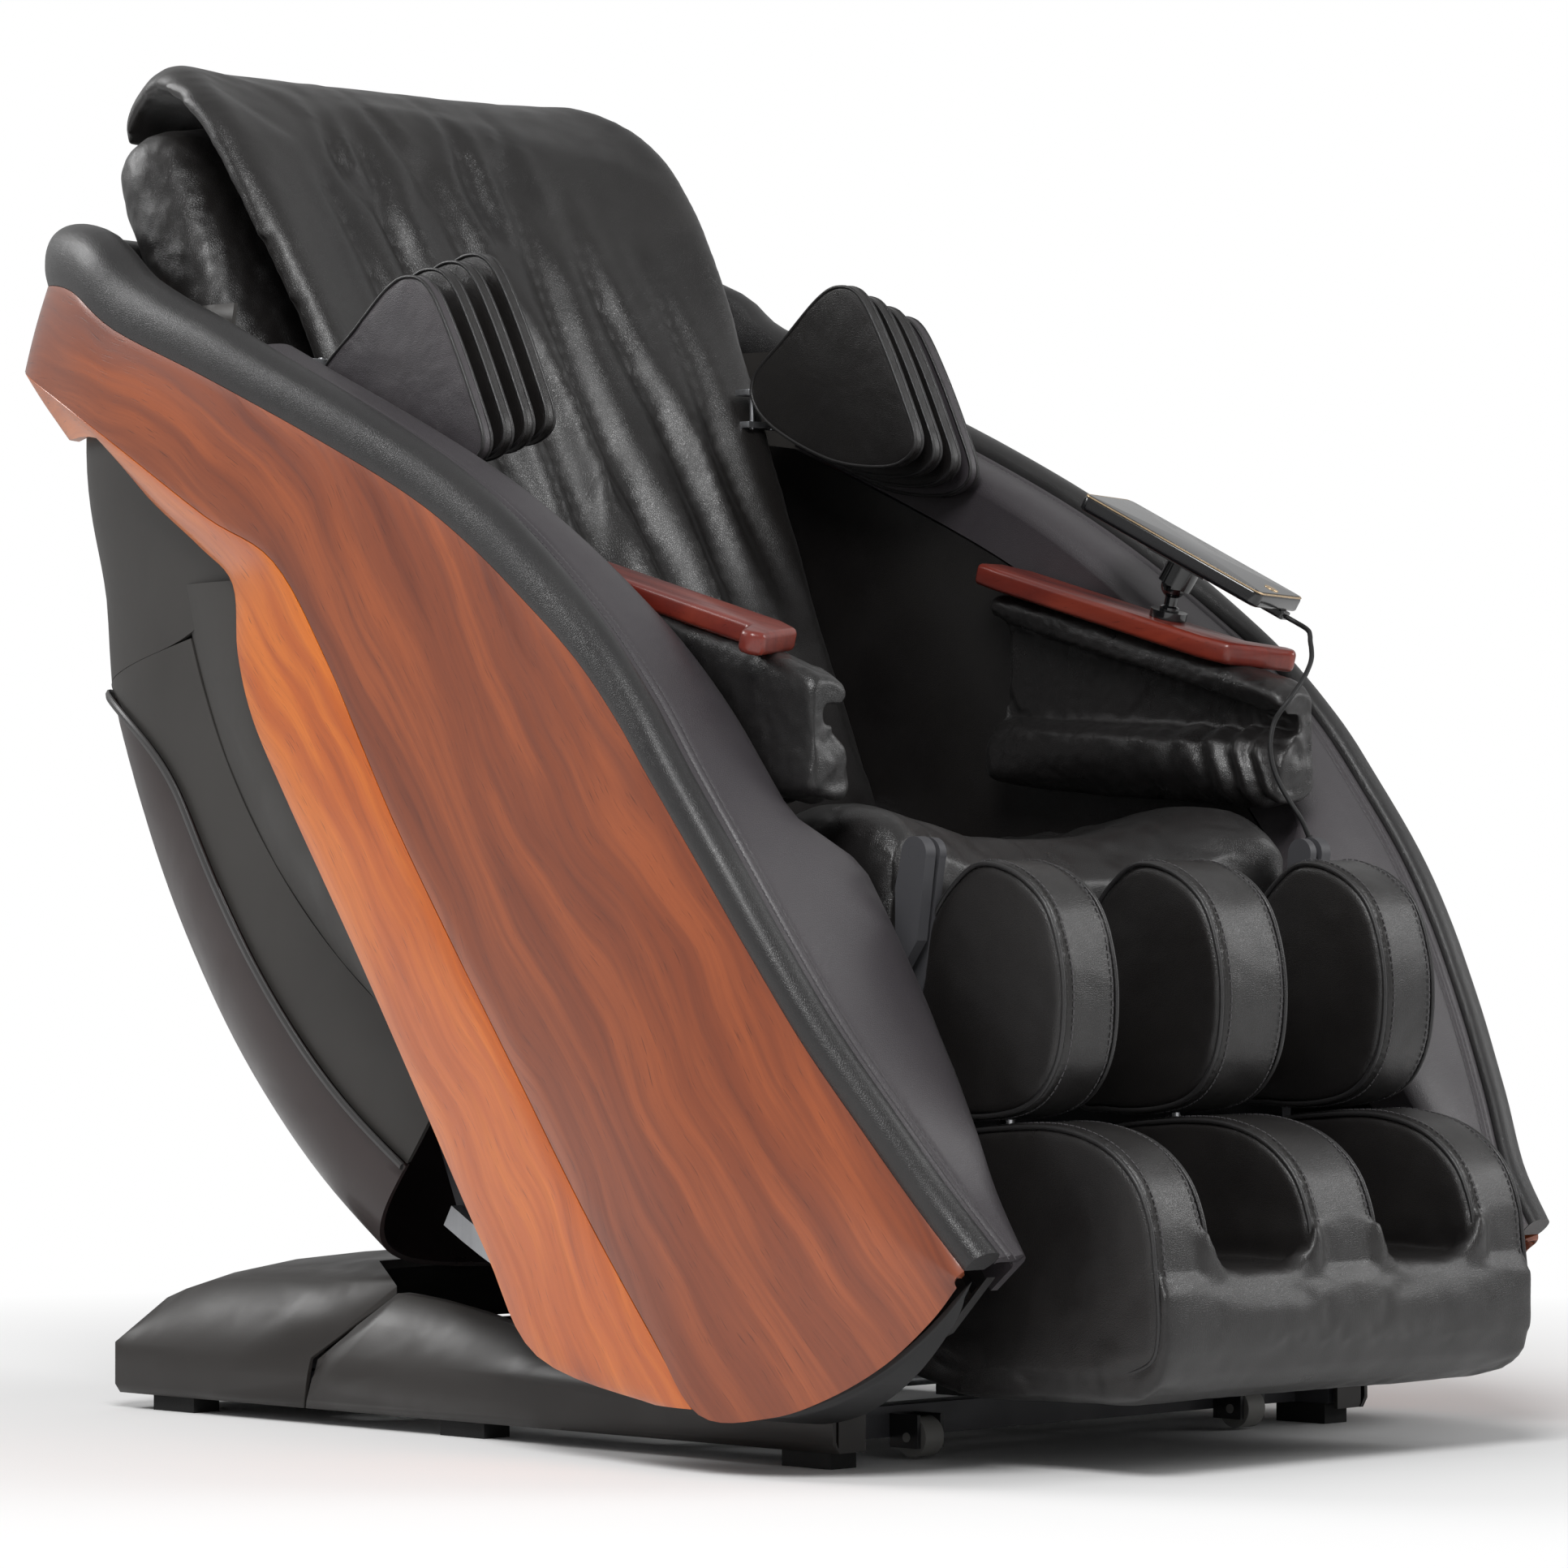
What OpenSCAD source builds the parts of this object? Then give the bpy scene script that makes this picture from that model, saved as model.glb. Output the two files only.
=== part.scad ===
// Massage chair: a padded cocoon that rocks back in a low base, with a lifting
// leg rest, a foot section that runs out of it, folding shoulder leaves, a roller
// carriage behind the back pad and a tablet remote on a ball arm.
// Millimetres. +Z is up, the sitter faces -Y, X runs across the chair.
// The origin is on the floor, under the middle of the chair.

/* [Overall] */
// Outside width over the wood panels
chair_w = 916; // [760:2:1100]
// Height of the top of the back pad
chair_h = 1238; // [1030:2:1490]
// Length from the foot section's front to the back of the trim
chair_l = 1330; // [1320:2:1360]

/* [Side panels] */
// Thickness of a wood panel
wood_t = 12; // [8:0.5:16]
// How far a wood panel swells outwards in its middle
wood_crown = 6; // [2:0.5:10]
// How far the panels stand further out beside the seat than beside the head
belly = 25; // [10:1:32]
// Gap between a wood panel and the plate that carries it
panel_standoff = 15; // [12:0.5:20]
// Thickness of the carrier plate behind a wood panel
carrier_t = 8; // [4:0.5:12]
// Width of one arm, from the outside to the wall beside the seat
arm_w = 136; // [124:1:150]
// Thickness of the wall beside the seat
wall_t = 10; // [6:0.5:14]
// Height of the rolled leather trim above a wood panel's edge
trim_h = 57; // [45:1:70]
// Width of the rolled leather trim
trim_w = 47; // [38:1:58]

/* [Rocking base] */
// Height of the axis that the cocoon rocks about
rock_z = 840; // [838:1:850]
// Outside radius of the rear shell round the rocking axis
shell_r = 858; // [850:1:866]
// Thickness of the plastic covers and shells
cover_t = 4; // [2.5:0.5:6]
// Outside width of the base
base_w = 680; // [560:2:690]
// Width of each base rail cover
rail_w = 50; // [44:1:60]
// Height of the crease along the base's sides
crease_z = 60; // [54:1:70]
// Height of the rubber feet
foot_h = 12; // [8:1:16]
// Radius of the steel rollers that carry the cocoon
cradle_roller_r = 18; // [14:0.5:21]
// Radius of a cradle roller's pin
cradle_pin_r = 6; // [4:0.5:8]

/* [Seat and back] */
// Height of the seat's front edge in its middle
seat_z = 500; // [490:1:515]
// Thickness of the seat cushion
seat_t = 84; // [60:1:96]
// Width of the seat cushion
seat_w = 516; // [430:2:520]
// Thickness of the back pad
pad_t = 34; // [24:1:40]
// Width of a shoulder leaf from its hinge line to its front edge
leaf_l = 212; // [170:2:240]
// Thickness of one shoulder leaf
leaf_t = 16; // [12:1:19]

/* [Leg rest] */
// Width of the leg rest and the foot section
leg_w = 480; // [384:2:500]
// Width of each calf and foot channel
channel_w = 122; // [98:1:130]
// Thickness of the wall between the two channels
mid_wall = 90; // [74:1:108]
// Radius of the leg rest's hinge pins
hinge_pin_r = 6; // [5:0.5:8]
// Radius of the chrome rods that the foot section runs on
rod_r = 7; // [5:0.5:9]
// Radius of a foot roller
foot_roller_r = 24; // [18:1:27]

/* [Massage carriage] */
// Distance between the middles of the two back rails
rail_gap = 300; // [240:2:330]
// Radius of a massage roller
massage_roller_r = 32; // [26:1:36]
// Radius of the kneading shaft
knead_r = 9; // [7:0.5:11]

/* [Remote] */
// Length of the tablet
tablet_l = 192; // [160:1:230]
// Width of the tablet
tablet_w = 120; // [100:1:144]
// Thickness of the tablet
tablet_t = 15; // [12:0.5:18]
// Radius of the ball in the tablet's holder
ball_r = 12; // [9:0.5:14]
// Diameter of the remote's cord
cord_d = 4.5; // [4:0.1:6]

/* [Clearances] */
// Gap between pieces that rest against each other
seat_gap = 0.3; // [0.2:0.05:0.5]
// Radial gap of a pin in its bore
pin_gap = 0.08; // [0.02:0.01:0.1]
// Gap between soft or moving pieces
soft_gap = 3; // [2:0.5:5]
/* [Hidden] */
$fn = 48;
half_w = chair_w / 2;
front_y = -chair_l / 2;
rear_y = chair_l / 2;
// Outer face of the wood before it swells, and the faces of the plates behind it
panel_x = half_w - 0.785 * wood_crown - belly;
carrier_x = panel_x - wood_t - panel_standoff;
wall_x = half_w - arm_w;
// The axis that the cocoon rocks about
rock_y = -230;
// Leg rest hinge
knee_y = -405;
knee_z = seat_z + 4;
leg_x = leg_w / 2;
base_x = base_w / 2;
// Lean of the back from upright, and where its front face meets the seat
back_y = 110;
back_z = 490;
back_lean = 29.5;

function lerp(a, b, t) = a + (b - a) * t;
function flat(rows) = [for (r = rows) each r];
function unit(v) = v / norm(v);
// A smooth curve through points, with n steps from each point to the next
function mix4(a, b, c, d, t) =
  0.5 * (2 * b + (c - a) * t + (2 * a - 5 * b + 4 * c - d) * t * t + (3 * b - a - 3 * c + d) * t * t * t);
function curve(p, n) = [
  for (i = [0:len(p) - 2]) for (k = [0:n - 1])
    mix4(p[max(i - 1, 0)], p[i], p[i + 1], p[min(i + 2, len(p) - 1)], k / n),
  p[len(p) - 1]
];
function closed_curve(p, n) = [
  for (i = [0:len(p) - 1]) for (k = [0:n - 1])
    mix4(p[(i + len(p) - 1) % len(p)], p[i], p[(i + 1) % len(p)], p[(i + 2) % len(p)], k / n)
];
function mid(p) = [for (v = p) 1] * p / len(p);
function volume(p, f) = [for (t = f) p[t[0]] * cross(p[t[1]], p[t[2]])] * [for (t = f) 1];
function flip_faces(p, f) = volume(p, f) > 0 ? [for (t = f) [t[0], t[2], t[1]]] : f;
function quad(a, b, c, d) = [[a, b, c], [a, c, d]];

// Closed solid between two grids of points with the same rows and columns
module slab(a, b) {
  n = len(a);
  m = len(a[0]);
  o = n * m;
  p = concat(flat(a), flat(b));
  f = [
    for (i = [0:n - 2]) for (j = [0:m - 2]) each concat(
      quad(i * m + j, i * m + j + 1, (i + 1) * m + j + 1, (i + 1) * m + j),
      quad(o + i * m + j, o + (i + 1) * m + j, o + (i + 1) * m + j + 1, o + i * m + j + 1)),
    for (i = [0:n - 2]) each concat(
      quad(i * m, (i + 1) * m, o + (i + 1) * m, o + i * m),
      quad((i + 2) * m - 1, (i + 1) * m - 1, o + (i + 1) * m - 1, o + (i + 2) * m - 1)),
    for (j = [0:m - 2]) each concat(
      quad(j + 1, j, o + j, o + j + 1),
      quad((n - 1) * m + j, (n - 1) * m + j + 1, o + (n - 1) * m + j + 1, o + (n - 1) * m + j))
  ];
  polyhedron(p, flip_faces(p, f), convexity = 8);
}

// Closed solid through a row of closed rings, with a fan at each end
module loft(rings) {
  n = len(rings);
  m = len(rings[0]);
  p = concat(flat(rings), [mid(rings[0]), mid(rings[n - 1])]);
  f = [
    for (i = [0:n - 2]) for (j = [0:m - 1])
      each quad(i * m + j, i * m + (j + 1) % m, (i + 1) * m + (j + 1) % m, (i + 1) * m + j),
    for (j = [0:m - 1]) [n * m, (j + 1) % m, j],
    for (j = [0:m - 1]) [n * m + 1, (n - 1) * m + j, (n - 1) * m + (j + 1) % m]
  ];
  polyhedron(p, flip_faces(p, f), convexity = 8);
}

// Unit normal of a grid at one of its points, turned to the given side
function grid_normal(g, i, j, side) =
  let (n = len(g), m = len(g[0]),
    du = g[min(i + 1, n - 1)][j] - g[max(i - 1, 0)][j],
    dv = g[i][min(j + 1, m - 1)] - g[i][max(j - 1, 0)],
    c = unit(cross(du, dv)))
  side * c;
function inset_grid(g, t, side) =
  [for (i = [0:len(g) - 1]) [for (j = [0:len(g[0]) - 1]) g[i][j] - t * grid_normal(g, i, j, side)]];
function mirrored(g) = [for (r = g) [for (q = r) [-q[0], q[1], q[2]]]];
module on_side(s) { if (s > 0) children(); else mirror([1, 0, 0]) children(); }

// Side panel outlines: distance in from the panel's face, then y and z, from the
// back of the head round the corner and down to the front tip.
// Upper edge of the wood
edge_top = [
  [127, 642, 1020], [55, 575, 1022], [17, 495, 1010], [4, 421, 971], [0, 291, 922], [0, 140, 860],
  [0, 25, 808], [0, -50, 764], [0, -115, 717], [0, -180, 665], [0, -228, 615], [0, -267, 566],
  [0, -325, 495], [1, -378, 428], [2, -440, 353], [4, -505, 284], [6, -565, 222], [7, -618, 172]
];
// Crease between the two wood facets, then the lower edge of the main one
edge_low = [
  [127, 656, 945], [50, 602, 945], [20, 520, 915], [3, 420, 870], [0, 290, 800], [0, 200, 758],
  [0, 131, 672], [0, 48, 539], [0, -34, 423], [0, -114, 315], [0, -192, 210], [2, -269, 113],
  [4, -322, 50], [7, -399, 50], [10, -463, 67], [12, -525, 95], [13, -575, 130], [13, -604, 158]
];
// Crease and outer edge of the light facet, in pairs
facet_in = [
  [127, 656, 944], [50, 602, 944], [20, 520, 914], [3, 420, 869], [0, 290, 799], [0, 200, 757],
  [0, 131, 671], [0, 90, 605], [0, 48, 538], [0, 7, 479], [0, -34, 422], [0, -114, 314],
  [0, -192, 209], [2, -269, 112], [4, -314, 54]
];
facet_out = [
  [127, 618, 885], [72, 564, 882], [44, 484, 876], [30, 404, 822], [28, 330, 775], [29, 287, 741],
  [29, 280, 680], [29, 260, 622], [29, 217, 554], [29, 164, 477], [29, 118, 410], [28, 38, 290],
  [26, -44, 168], [22, -112, 84], [14, -262, 54]
];
// The panels belly out beside the seat and close in towards their front tips:
// depth in the chair, then how far in or out they stand there
belly_at = [
  [-622, 56], [-560, 41], [-505, 21], [-450, 3], [-406, -10], [-365, -18], [-315, -24], [-272, -25],
  [-227, -22], [-160, -15], [-92, -7], [0, 0]
];
function look(t, v, i = 0) = v <= t[0][0] ? t[0][1] : i > len(t) - 2 ? t[len(t) - 1][1] :
  v <= t[i + 1][0] ? lerp(t[i][1], t[i + 1][1], (v - t[i][0]) / (t[i + 1][0] - t[i][0])) : look(t, v, i + 1);
function toe(y) = let (b = look(belly_at, y)) b < 0 ? b * belly / 25 : b;
function on_panel(p, x0) = [for (q = p) [x0 - q[0] - toe(q[1]), q[1] + toe(q[1]), q[2]]];
top_line = curve(on_panel(edge_top, panel_x), 2);
low_line = curve(on_panel(edge_low, panel_x), 2);
first_side = 8;   // first row of the straight side, past the rear corner

// Frames along the upper edge: a runs in towards the middle, n runs outwards in the panel
function edge_a(l, i) = [-1, 0, 0];
function edge_n(l, i) = let (t = l[min(i + 1, len(l) - 1)] - l[max(i - 1, 0)]) unit(cross([-1, 0, 0], t));
function off_edge(l, i, a, n) = l[i] + a * edge_a(l, i) + n * edge_n(l, i);

// Wood panel: rows run along the panel, columns from its upper to its lower edge
across = 4;
wood_grid = [
  for (i = [0:len(top_line) - 1]) [
    for (j = [0:across]) let (t = j / across)
      lerp(top_line[i], low_line[i], t) + [wood_crown * sin(180 * t) * min(1, i / first_side), 0, 0]
  ]
];
module wood_panel() { slab(wood_grid, inset_grid(wood_grid, wood_t, wood_side)); }
wood_side = grid_normal(wood_grid, 20, 2, 1)[0] > 0 ? 1 : -1;
facet_a = curve(on_panel(facet_in, panel_x), 2);
facet_b = curve(on_panel(facet_out, panel_x), 2);
facet_grid = [
  for (i = [0:len(facet_a) - 1]) [
    for (j = [0:2]) let (t = j / 2)
      lerp(facet_a[i], facet_b[i], t) + [2 * sin(180 * t), 0, 0] + (j == 0 ? seam_step(i) : [0, 0, 0])
  ]
];
function seam_step(i) = (seat_gap + (i > len(facet_a) - 5 ? 1.5 : 0)) * unit(facet_b[i] - facet_a[i]);
edge_t = wood_t - 3;
function edge_inward(i) = i < 12 ? wood_side * grid_normal(wood_grid, i, across, 1) : [1, 0, 0];
facet_back = [for (i = [0:len(facet_grid) - 1]) [for (p = facet_grid[i]) p - edge_t * edge_inward(i)]];
module wood_edge() { slab(facet_grid, facet_back); }
module wood_panel_left() { color("sienna") on_side(-1) wood_panel(); }
module wood_panel_right() { color("sienna") on_side(1) wood_panel(); }
module wood_edge_left() { color("chocolate") on_side(-1) wood_edge(); }
module wood_edge_right() { color("chocolate") on_side(1) wood_edge(); }

// Flat outlines in the plane of the panel, as y and z
function yz(p) = [p[1], p[2]];
function inner_line(l, from, n) = [for (i = [from:len(l) - 1]) yz(off_edge(l, i, 0, n))];
low_inset = 14;
function toward(i, d) = low_line[i] + d * unit(top_line[i] - low_line[i]);
function side_outline(from, to, drop, rise) = concat(
  [for (i = [from:to]) yz(off_edge(top_line, i, 0, -drop))],
  [for (i = [to:-1:from]) yz(toward(i, rise))]);
carrier_rows = 26;
module in_side_plane(x, t) {
  translate([x, 0, 0]) rotate([90, 0, 90]) linear_extrude(height = t) children();
}
// Carrier plate, with the clips that hold the wood
clip_rows = [[10, 1], [14, 1], [18, 1], [22, 1], [12, 3], [16, 3], [20, 3], [24, 3]];
clip_r = 6;
module carrier_plate() {
  in_side_plane(carrier_x - carrier_t, carrier_t) polygon(side_outline(first_side, carrier_rows, 12, low_inset));
  inside = inset_grid(wood_grid, wood_t, wood_side);
  for (c = clip_rows) {
    p = inside[c[0]][c[1]];
    translate([carrier_x - 1, p[1], p[2]]) rotate([0, 90, 0])
      cylinder(r = clip_r, h = p[0] - carrier_x + 1 - seat_gap - 2.2);
  }
  // Studs from the carrier to the wall beside the seat
  for (s = frame_studs) translate([wall_x + wall_t + seat_gap, s[0], s[1]]) rotate([0, 90, 0])
    cylinder(r = stud_r, h = carrier_x - carrier_t - wall_x - wall_t - seat_gap + 1);
}
stud_r = 12;
frame_studs = [[-340, 260], [-250, 330], [-120, 470], [40, 650], [-40, 730], [130, 770]];
module carrier_plates() { color("dimgray") for (s = [-1, 1]) on_side(s) carrier_plate(); }
// Wall beside the seat
wall_low = [[-556, 165], [-510, 118], [-440, 86], [-330, 76], [-200, 82], [-110, 110], [0, 180], [106, 300], [196, 420],
  [280, 540], [345, 680], [360, 800], [362, 900]];
module side_wall() {
  in_side_plane(wall_x, wall_t) polygon(concat(
    inner_line(top_line, first_side, -leather_drop - 2), wall_low));
}
module side_walls() { color("#5a555c") for (s = [-1, 1]) on_side(s) side_wall(); }

// Rolled trim: in from the wood's face and out from its edge
trim_ring = [
  [0, 0.01], [-0.06, 0.25], [-0.04, 0.56], [0.09, 0.81], [0.34, 0.965], [0.64, 1],
  [0.89, 0.91], [1, 0.7], [1, 0.35], [0.85, 0.01]
];
rear_mid = [for (k = [0.68, 0.34, 0]) [(panel_x - edge_top[0][0]) * k, rear_y - 2.82 - 17 * k * k, 1014 + 6 * k]];
trim_half = concat(
  [for (i = [len(top_line) - 1:-1:0]) top_line[i]],
  rear_mid);
trim_path = concat(
  [for (p = trim_half) [-p[0], p[1], p[2]]],
  [for (i = [len(trim_half) - 2:-1:0]) trim_half[i]]);
// The roll is slimmer beside the legs than behind the head: height, then share of the full size
roll_h = [[400, 0.4], [550, 0.44], [650, 0.52], [720, 0.64], [800, 0.68], [900, 0.76], [970, 0.92], [1012, 1]];
roll_w = [[450, 0.57], [650, 0.6], [800, 0.75], [930, 0.92], [1000, 1]];
function path_ring(i) = let (w = trim_w * look(roll_w, trim_path[i][2]), h = trim_h * look(roll_h, trim_path[i][2]))
  [for (q = trim_ring) off_path(trim_path, i, q[0] * w, max(q[1] * h, seat_gap))];
function path_t(l, i) = unit(l[min(i + 1, len(l) - 1)] - l[max(i - 1, 0)]);
function path_a(l, i) = l[i][1] < 440 ? [-sign(l[i][0]), 0, 0] : unit(cross(path_t(l, i), [0, 0, 1]));
function off_path(l, i, a, n) = l[i] + a * path_a(l, i) + n * unit(cross(path_a(l, i), path_t(l, i)));
module cocoon_trim() {
  color("#2b2b2d") loft([for (i = [0:len(trim_path) - 1]) path_ring(i)]);
}

// Leather band from the trim's inner edge to the wall beside the seat, and below the arm
// bolster further in, to the leg rest: share of the way, then share of the trim's height
band_section = [[0, 0.66], [0.12, 0.74], [0.4, 0.74], [0.7, 0.72], [0.9, 0.62], [1, 0.36], [1, -1]];
band_t = 8;
leather_drop = 30;
band_in = [[170, 303], [212, 293], [265, 282], [318, 274], [378, 270], [490, 270], [528, 322]];
function band_to(i) = look(band_in, top_line[i][2]) + wall_x - 322;
function band_from(i) = trim_w * look(roll_w, top_line[i][2]) + 1.5;
function band_a(i, s) = lerp(band_from(i), top_line[i][0] - band_to(i), s);
function band_line(i, q, t) = let (h = trim_h * look(roll_h, top_line[i][2]))
  off_edge(top_line, i, band_a(i, q[0]) - (q[0] > 0.8 ? t : 0), q[1] < 0 ? -leather_drop : q[1] * h - t);
band_rows = [first_side:len(top_line) - 1];
module leather_band() {
  slab([for (i = band_rows) [for (q = band_section) band_line(i, q, 0)]],
    [for (i = band_rows) [for (q = band_section) band_line(i, q, band_t)]]);
}
module side_leather() { color("#4a474b") for (s = [-1, 1]) on_side(s) leather_band(); }

// Strip that closes the panel's lower front edge
edge_rows = [22:len(low_line) - 1];
strip_x = base_x + 8;
module lower_edge() {
  strip_t = 6;
  outer = [for (i = edge_rows) [
    low_line[i] + [-wood_t - 2.2, 0, 0] + down_step(i, 0),
    [strip_x, 0, 0] + drop_x(low_line[i] + down_step(i, 8))]];
  inner = [for (i = edge_rows) [
    low_line[i] + [-wood_t - 2.2, 0, 0] + down_step(i, -strip_t),
    [strip_x, 0, 0] + drop_x(low_line[i] + down_step(i, 8 - strip_t))]];
  slab(outer, inner);
}
function drop_x(p) = [0, p[1], p[2]];
function down_step(i, d) = let (v = low_line[i] - top_line[i]) d * unit([0, v[1], v[2]]);
module lower_edge_strips() { color("#2a2a2b") for (s = [-1, 1]) on_side(s) lower_edge(); }

// Base: a steel frame low on the floor, under moulded covers
tube = 26;
tube_z = foot_h + 6;
tube_h = 28;
frame_x = base_x - 14 - tube;
cross_front = -342;
cross_rear = 430;
roller_at = [-4, 12];
cradle_out = 765;
cradle_in = 745;
cradle_x = leg_x + 18.3;
cradle_t = 12;
roller_track = cradle_out + cradle_roller_r + 0.15;
function on_arc(r, a) = [rock_y + r * sin(a), rock_z - r * cos(a)];
bracket_x = cradle_x + cradle_t + 4;
bracket_t = 10;
inlet_y = 505;
module base_frame() {
  color("#3a3a3c") difference() {
    union() {
      for (s = [-1, 1]) translate([s > 0 ? frame_x : -frame_x - tube, -380, tube_z]) cube([tube, frame_rear + 380, tube_h]);
      for (y = [cross_front, cross_rear])
        translate([-frame_x - 1, y, tube_z]) cube([2 * frame_x + 2, 30, tube_h - 2]);
      for (s = [-1, 1]) for (a = roller_at) {
        p = on_arc(roller_track, a);
        translate([s > 0 ? bracket_x : -bracket_x - bracket_t, p[0] - 16, tube_z])
          cube([bracket_t, 32, p[1] - tube_z + 13]);
        translate([s > 0 ? bracket_x : -frame_x - 1, p[0] - 14, tube_z])
          cube([frame_x + 1 - bracket_x, 28, 12]);
      }
      // Clevis for the tilt actuator
      for (x = [-19, 11]) translate([tilt_x + x, cross_front + 4, tube_z + 8]) cube([8, 24, 44]);
    }
    for (a = roller_at) {
      p = on_arc(roller_track, a);
      translate([-half_w, p[0], p[1]]) rotate([0, 90, 0]) cylinder(r = cradle_pin_r + pin_gap, h = chair_w);
    }
    translate([tilt_x - 30, tilt_pin[0], tilt_pin[1]]) rotate([0, 90, 0]) cylinder(r = act_pin_r + pin_gap, h = 60);
    // Bolt holes under the frame for the rubber feet
    for (s = [-1, 1]) for (y = foot_y)
      translate([s * (frame_x + tube / 2), y, tube_z - 1]) cylinder(r = foot_bolt_r, h = 16);
  }
}
foot_y = [-350, 66, 450];
foot_bolt_r = 4;
module rubber_feet() {
  color("#151515") for (s = [-1, 1]) for (y = foot_y) translate([s * (frame_x + tube / 2), y, 0])
    union() {
      translate([-15, -28, 0]) cube([30, 56, tube_z - seat_gap]);
      cylinder(r = foot_bolt_r - pin_gap, h = tube_z + 12);
    }
}
// One shaft and its two rollers
module cradle_shaft(a) {
  p = on_arc(roller_track, a);
  translate([0, p[0], p[1]]) rotate([0, 90, 0]) {
    translate([0, 0, -bracket_x - bracket_t]) cylinder(r = cradle_pin_r, h = 2 * (bracket_x + bracket_t));
    for (s = [-1, 1]) translate([0, 0, s * (cradle_x + cradle_t / 2) - 7]) cylinder(r = cradle_roller_r, h = 14);
  }
}
module cradle_rollers_front() { color("silver") cradle_shaft(roller_at[0]); }
module cradle_rollers_rear() { color("silver") cradle_shaft(roller_at[1]); }

// Rail cover: a moulded channel over the frame's side, whose ridge sinks towards the front
ridge_in = base_x - rail_w;
ridge_out = base_x - rail_w + 14;
rail_rows = [[245, 118], [170, 118], [90, 112], [0, 92], [-90, 72], [-200, crease_z + 4], [-392, crease_z + 3]];
cover_low = foot_h + 2;
lip_low = tube_z + tube_h + 2;
function rail_section(y, ridge, t, shear) = [
  [base_x - 6 - t, y + shear * 18, cover_low], [base_x - t, y + shear * 10, cover_low + 8],
  [base_x - t, y, crease_z - t / 2],
  [ridge_out, y - shear * 70, ridge - t], [ridge_in + t, y - shear * 70, ridge - t],
  [ridge_in + t, y - shear * 70, lip_low]
];
module rail_cover() {
  slab(
    [for (k = [0:len(rail_rows) - 1]) rail_section(rail_rows[k][0], rail_rows[k][1], 0, k == 0 ? 1 : 0)],
    [for (k = [0:len(rail_rows) - 1]) rail_section(rail_rows[k][0], rail_rows[k][1], cover_t, k == 0 ? 1 : 0)]);
  translate([ridge_in + cover_t + 6, -391, cover_low]) cube([rail_w - cover_t - 14, cover_t, crease_z - cover_low]);
  // Ribs against the frame's side tube
  for (y = [-300, -60, 150]) translate([frame_x + tube + seat_gap, y, cover_low + 10])
    cube([base_x - frame_x - tube - seat_gap - 1, 8, 22]);
}
module base_rail_covers() { color("#33312f") for (s = [-1, 1]) on_side(s) rail_cover(); }

// Rear cover: a low dome over the back of the base
dome_top = 142;
rear_end = 515;
split = 3;
dome_rows = [[0, 1], [60, 1], [120, 1], [170, 0.92], [205, 0.62], [222, 0.06]];
function dome_front(x) = x > base_x - 2 ? 248 : x > ridge_in - 10 ? 178 : 290;
function dome_section(k, t) =
  let (d = dome_rows[k][0], h = dome_rows[k][1],
    up = function(z) crease_z - t / 2 + (z - crease_z - t / 2) * h,
    y = function(x) let (f = dome_front(x)) min(lerp(f, rear_end, d / 222), rear_end) - (k > 3 ? t * (k - 3) / 2 : 0) + split)
  let (half = [
    [base_x - 6 - t, y(base_x) + (k == 0 ? 16 : 0), cover_low],
    [base_x - t, y(base_x) + (k == 0 ? 8 : 0), cover_low + 8],
    [base_x - t, y(base_x), crease_z - t / 2],
    [ridge_out - 4, y(ridge_out), up(124 - t)], [ridge_in - 70, y(0), up(dome_top - 4 - t)], [0, y(0), up(dome_top - t)]])
  concat(half, [for (j = [4:-1:0]) [-half[j][0], half[j][1], half[j][2]]]);
module base_rear_cover() {
  color("#33312f") difference() {
    union() {
      slab([for (k = [0:5]) dome_section(k, 0)], [for (k = [0:5]) dome_section(k, cover_t)]);
      // Rear wall
      translate([-base_x + 6, rear_end - cover_t + split, cover_low]) cube([base_w - 12, cover_t, crease_z - cover_low]);
      // Stops against the frame's side tubes, and ears for the switch's pin
      for (s = [-1, 1]) translate([s * (frame_x + tube / 2) - 10, frame_rear + seat_gap, tube_z + 3])
        cube([20, rear_end - frame_rear - seat_gap + split - cover_t / 2, 22]);
      for (x = [-14, 11]) translate([switch_x + x, rear_end - 7, inlet_z + 3]) cube([3, 9, inlet_h - 6]);
    }
    translate([switch_x - 20, switch_y, inlet_z + inlet_h / 2]) rotate([0, 90, 0]) cylinder(r = switch_pin_r + pin_gap, h = 40);
    translate([-inlet_w / 2 - 0.3, rear_end - 10, inlet_z - 0.3]) cube([inlet_w + 0.6, 30, inlet_h + 0.6]);
    translate([switch_x - 11, rear_end - 10, inlet_z + 1]) cube([22, 30, inlet_h - 2]);
  }
}
inlet_w = 48;
inlet_h = 27;
inlet_z = 24;
switch_x = 60;
switch_y = rear_end - 2;
switch_pin_r = 2;
frame_rear = 480;
module power_inlet() {
  color("#1b1b1b") difference() {
    translate([-inlet_w / 2, rear_end - 22, inlet_z]) cube([inlet_w, 26, inlet_h]);
    translate([-14, rear_end - 16, inlet_z + 5]) cube([28, 40, 17]);
  }
  color("silver") for (x = [-7, 0, 7]) translate([x - 1, rear_end - 17, inlet_z + 11]) cube([2, 14, 4]);
}
// Rocker of the power switch, on a short pin
module power_switch() {
  color("#202020") translate([switch_x, switch_y, inlet_z + inlet_h / 2]) rotate([0, 90, 0]) {
    translate([0, 0, -9]) linear_extrude(height = 18)
      polygon([[-9, 1.5], [0, 4], [9, 7], [9, -3], [-9, -3]]);
    translate([0, 0, -14]) cylinder(r = switch_pin_r, h = 28);
  }
}
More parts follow.
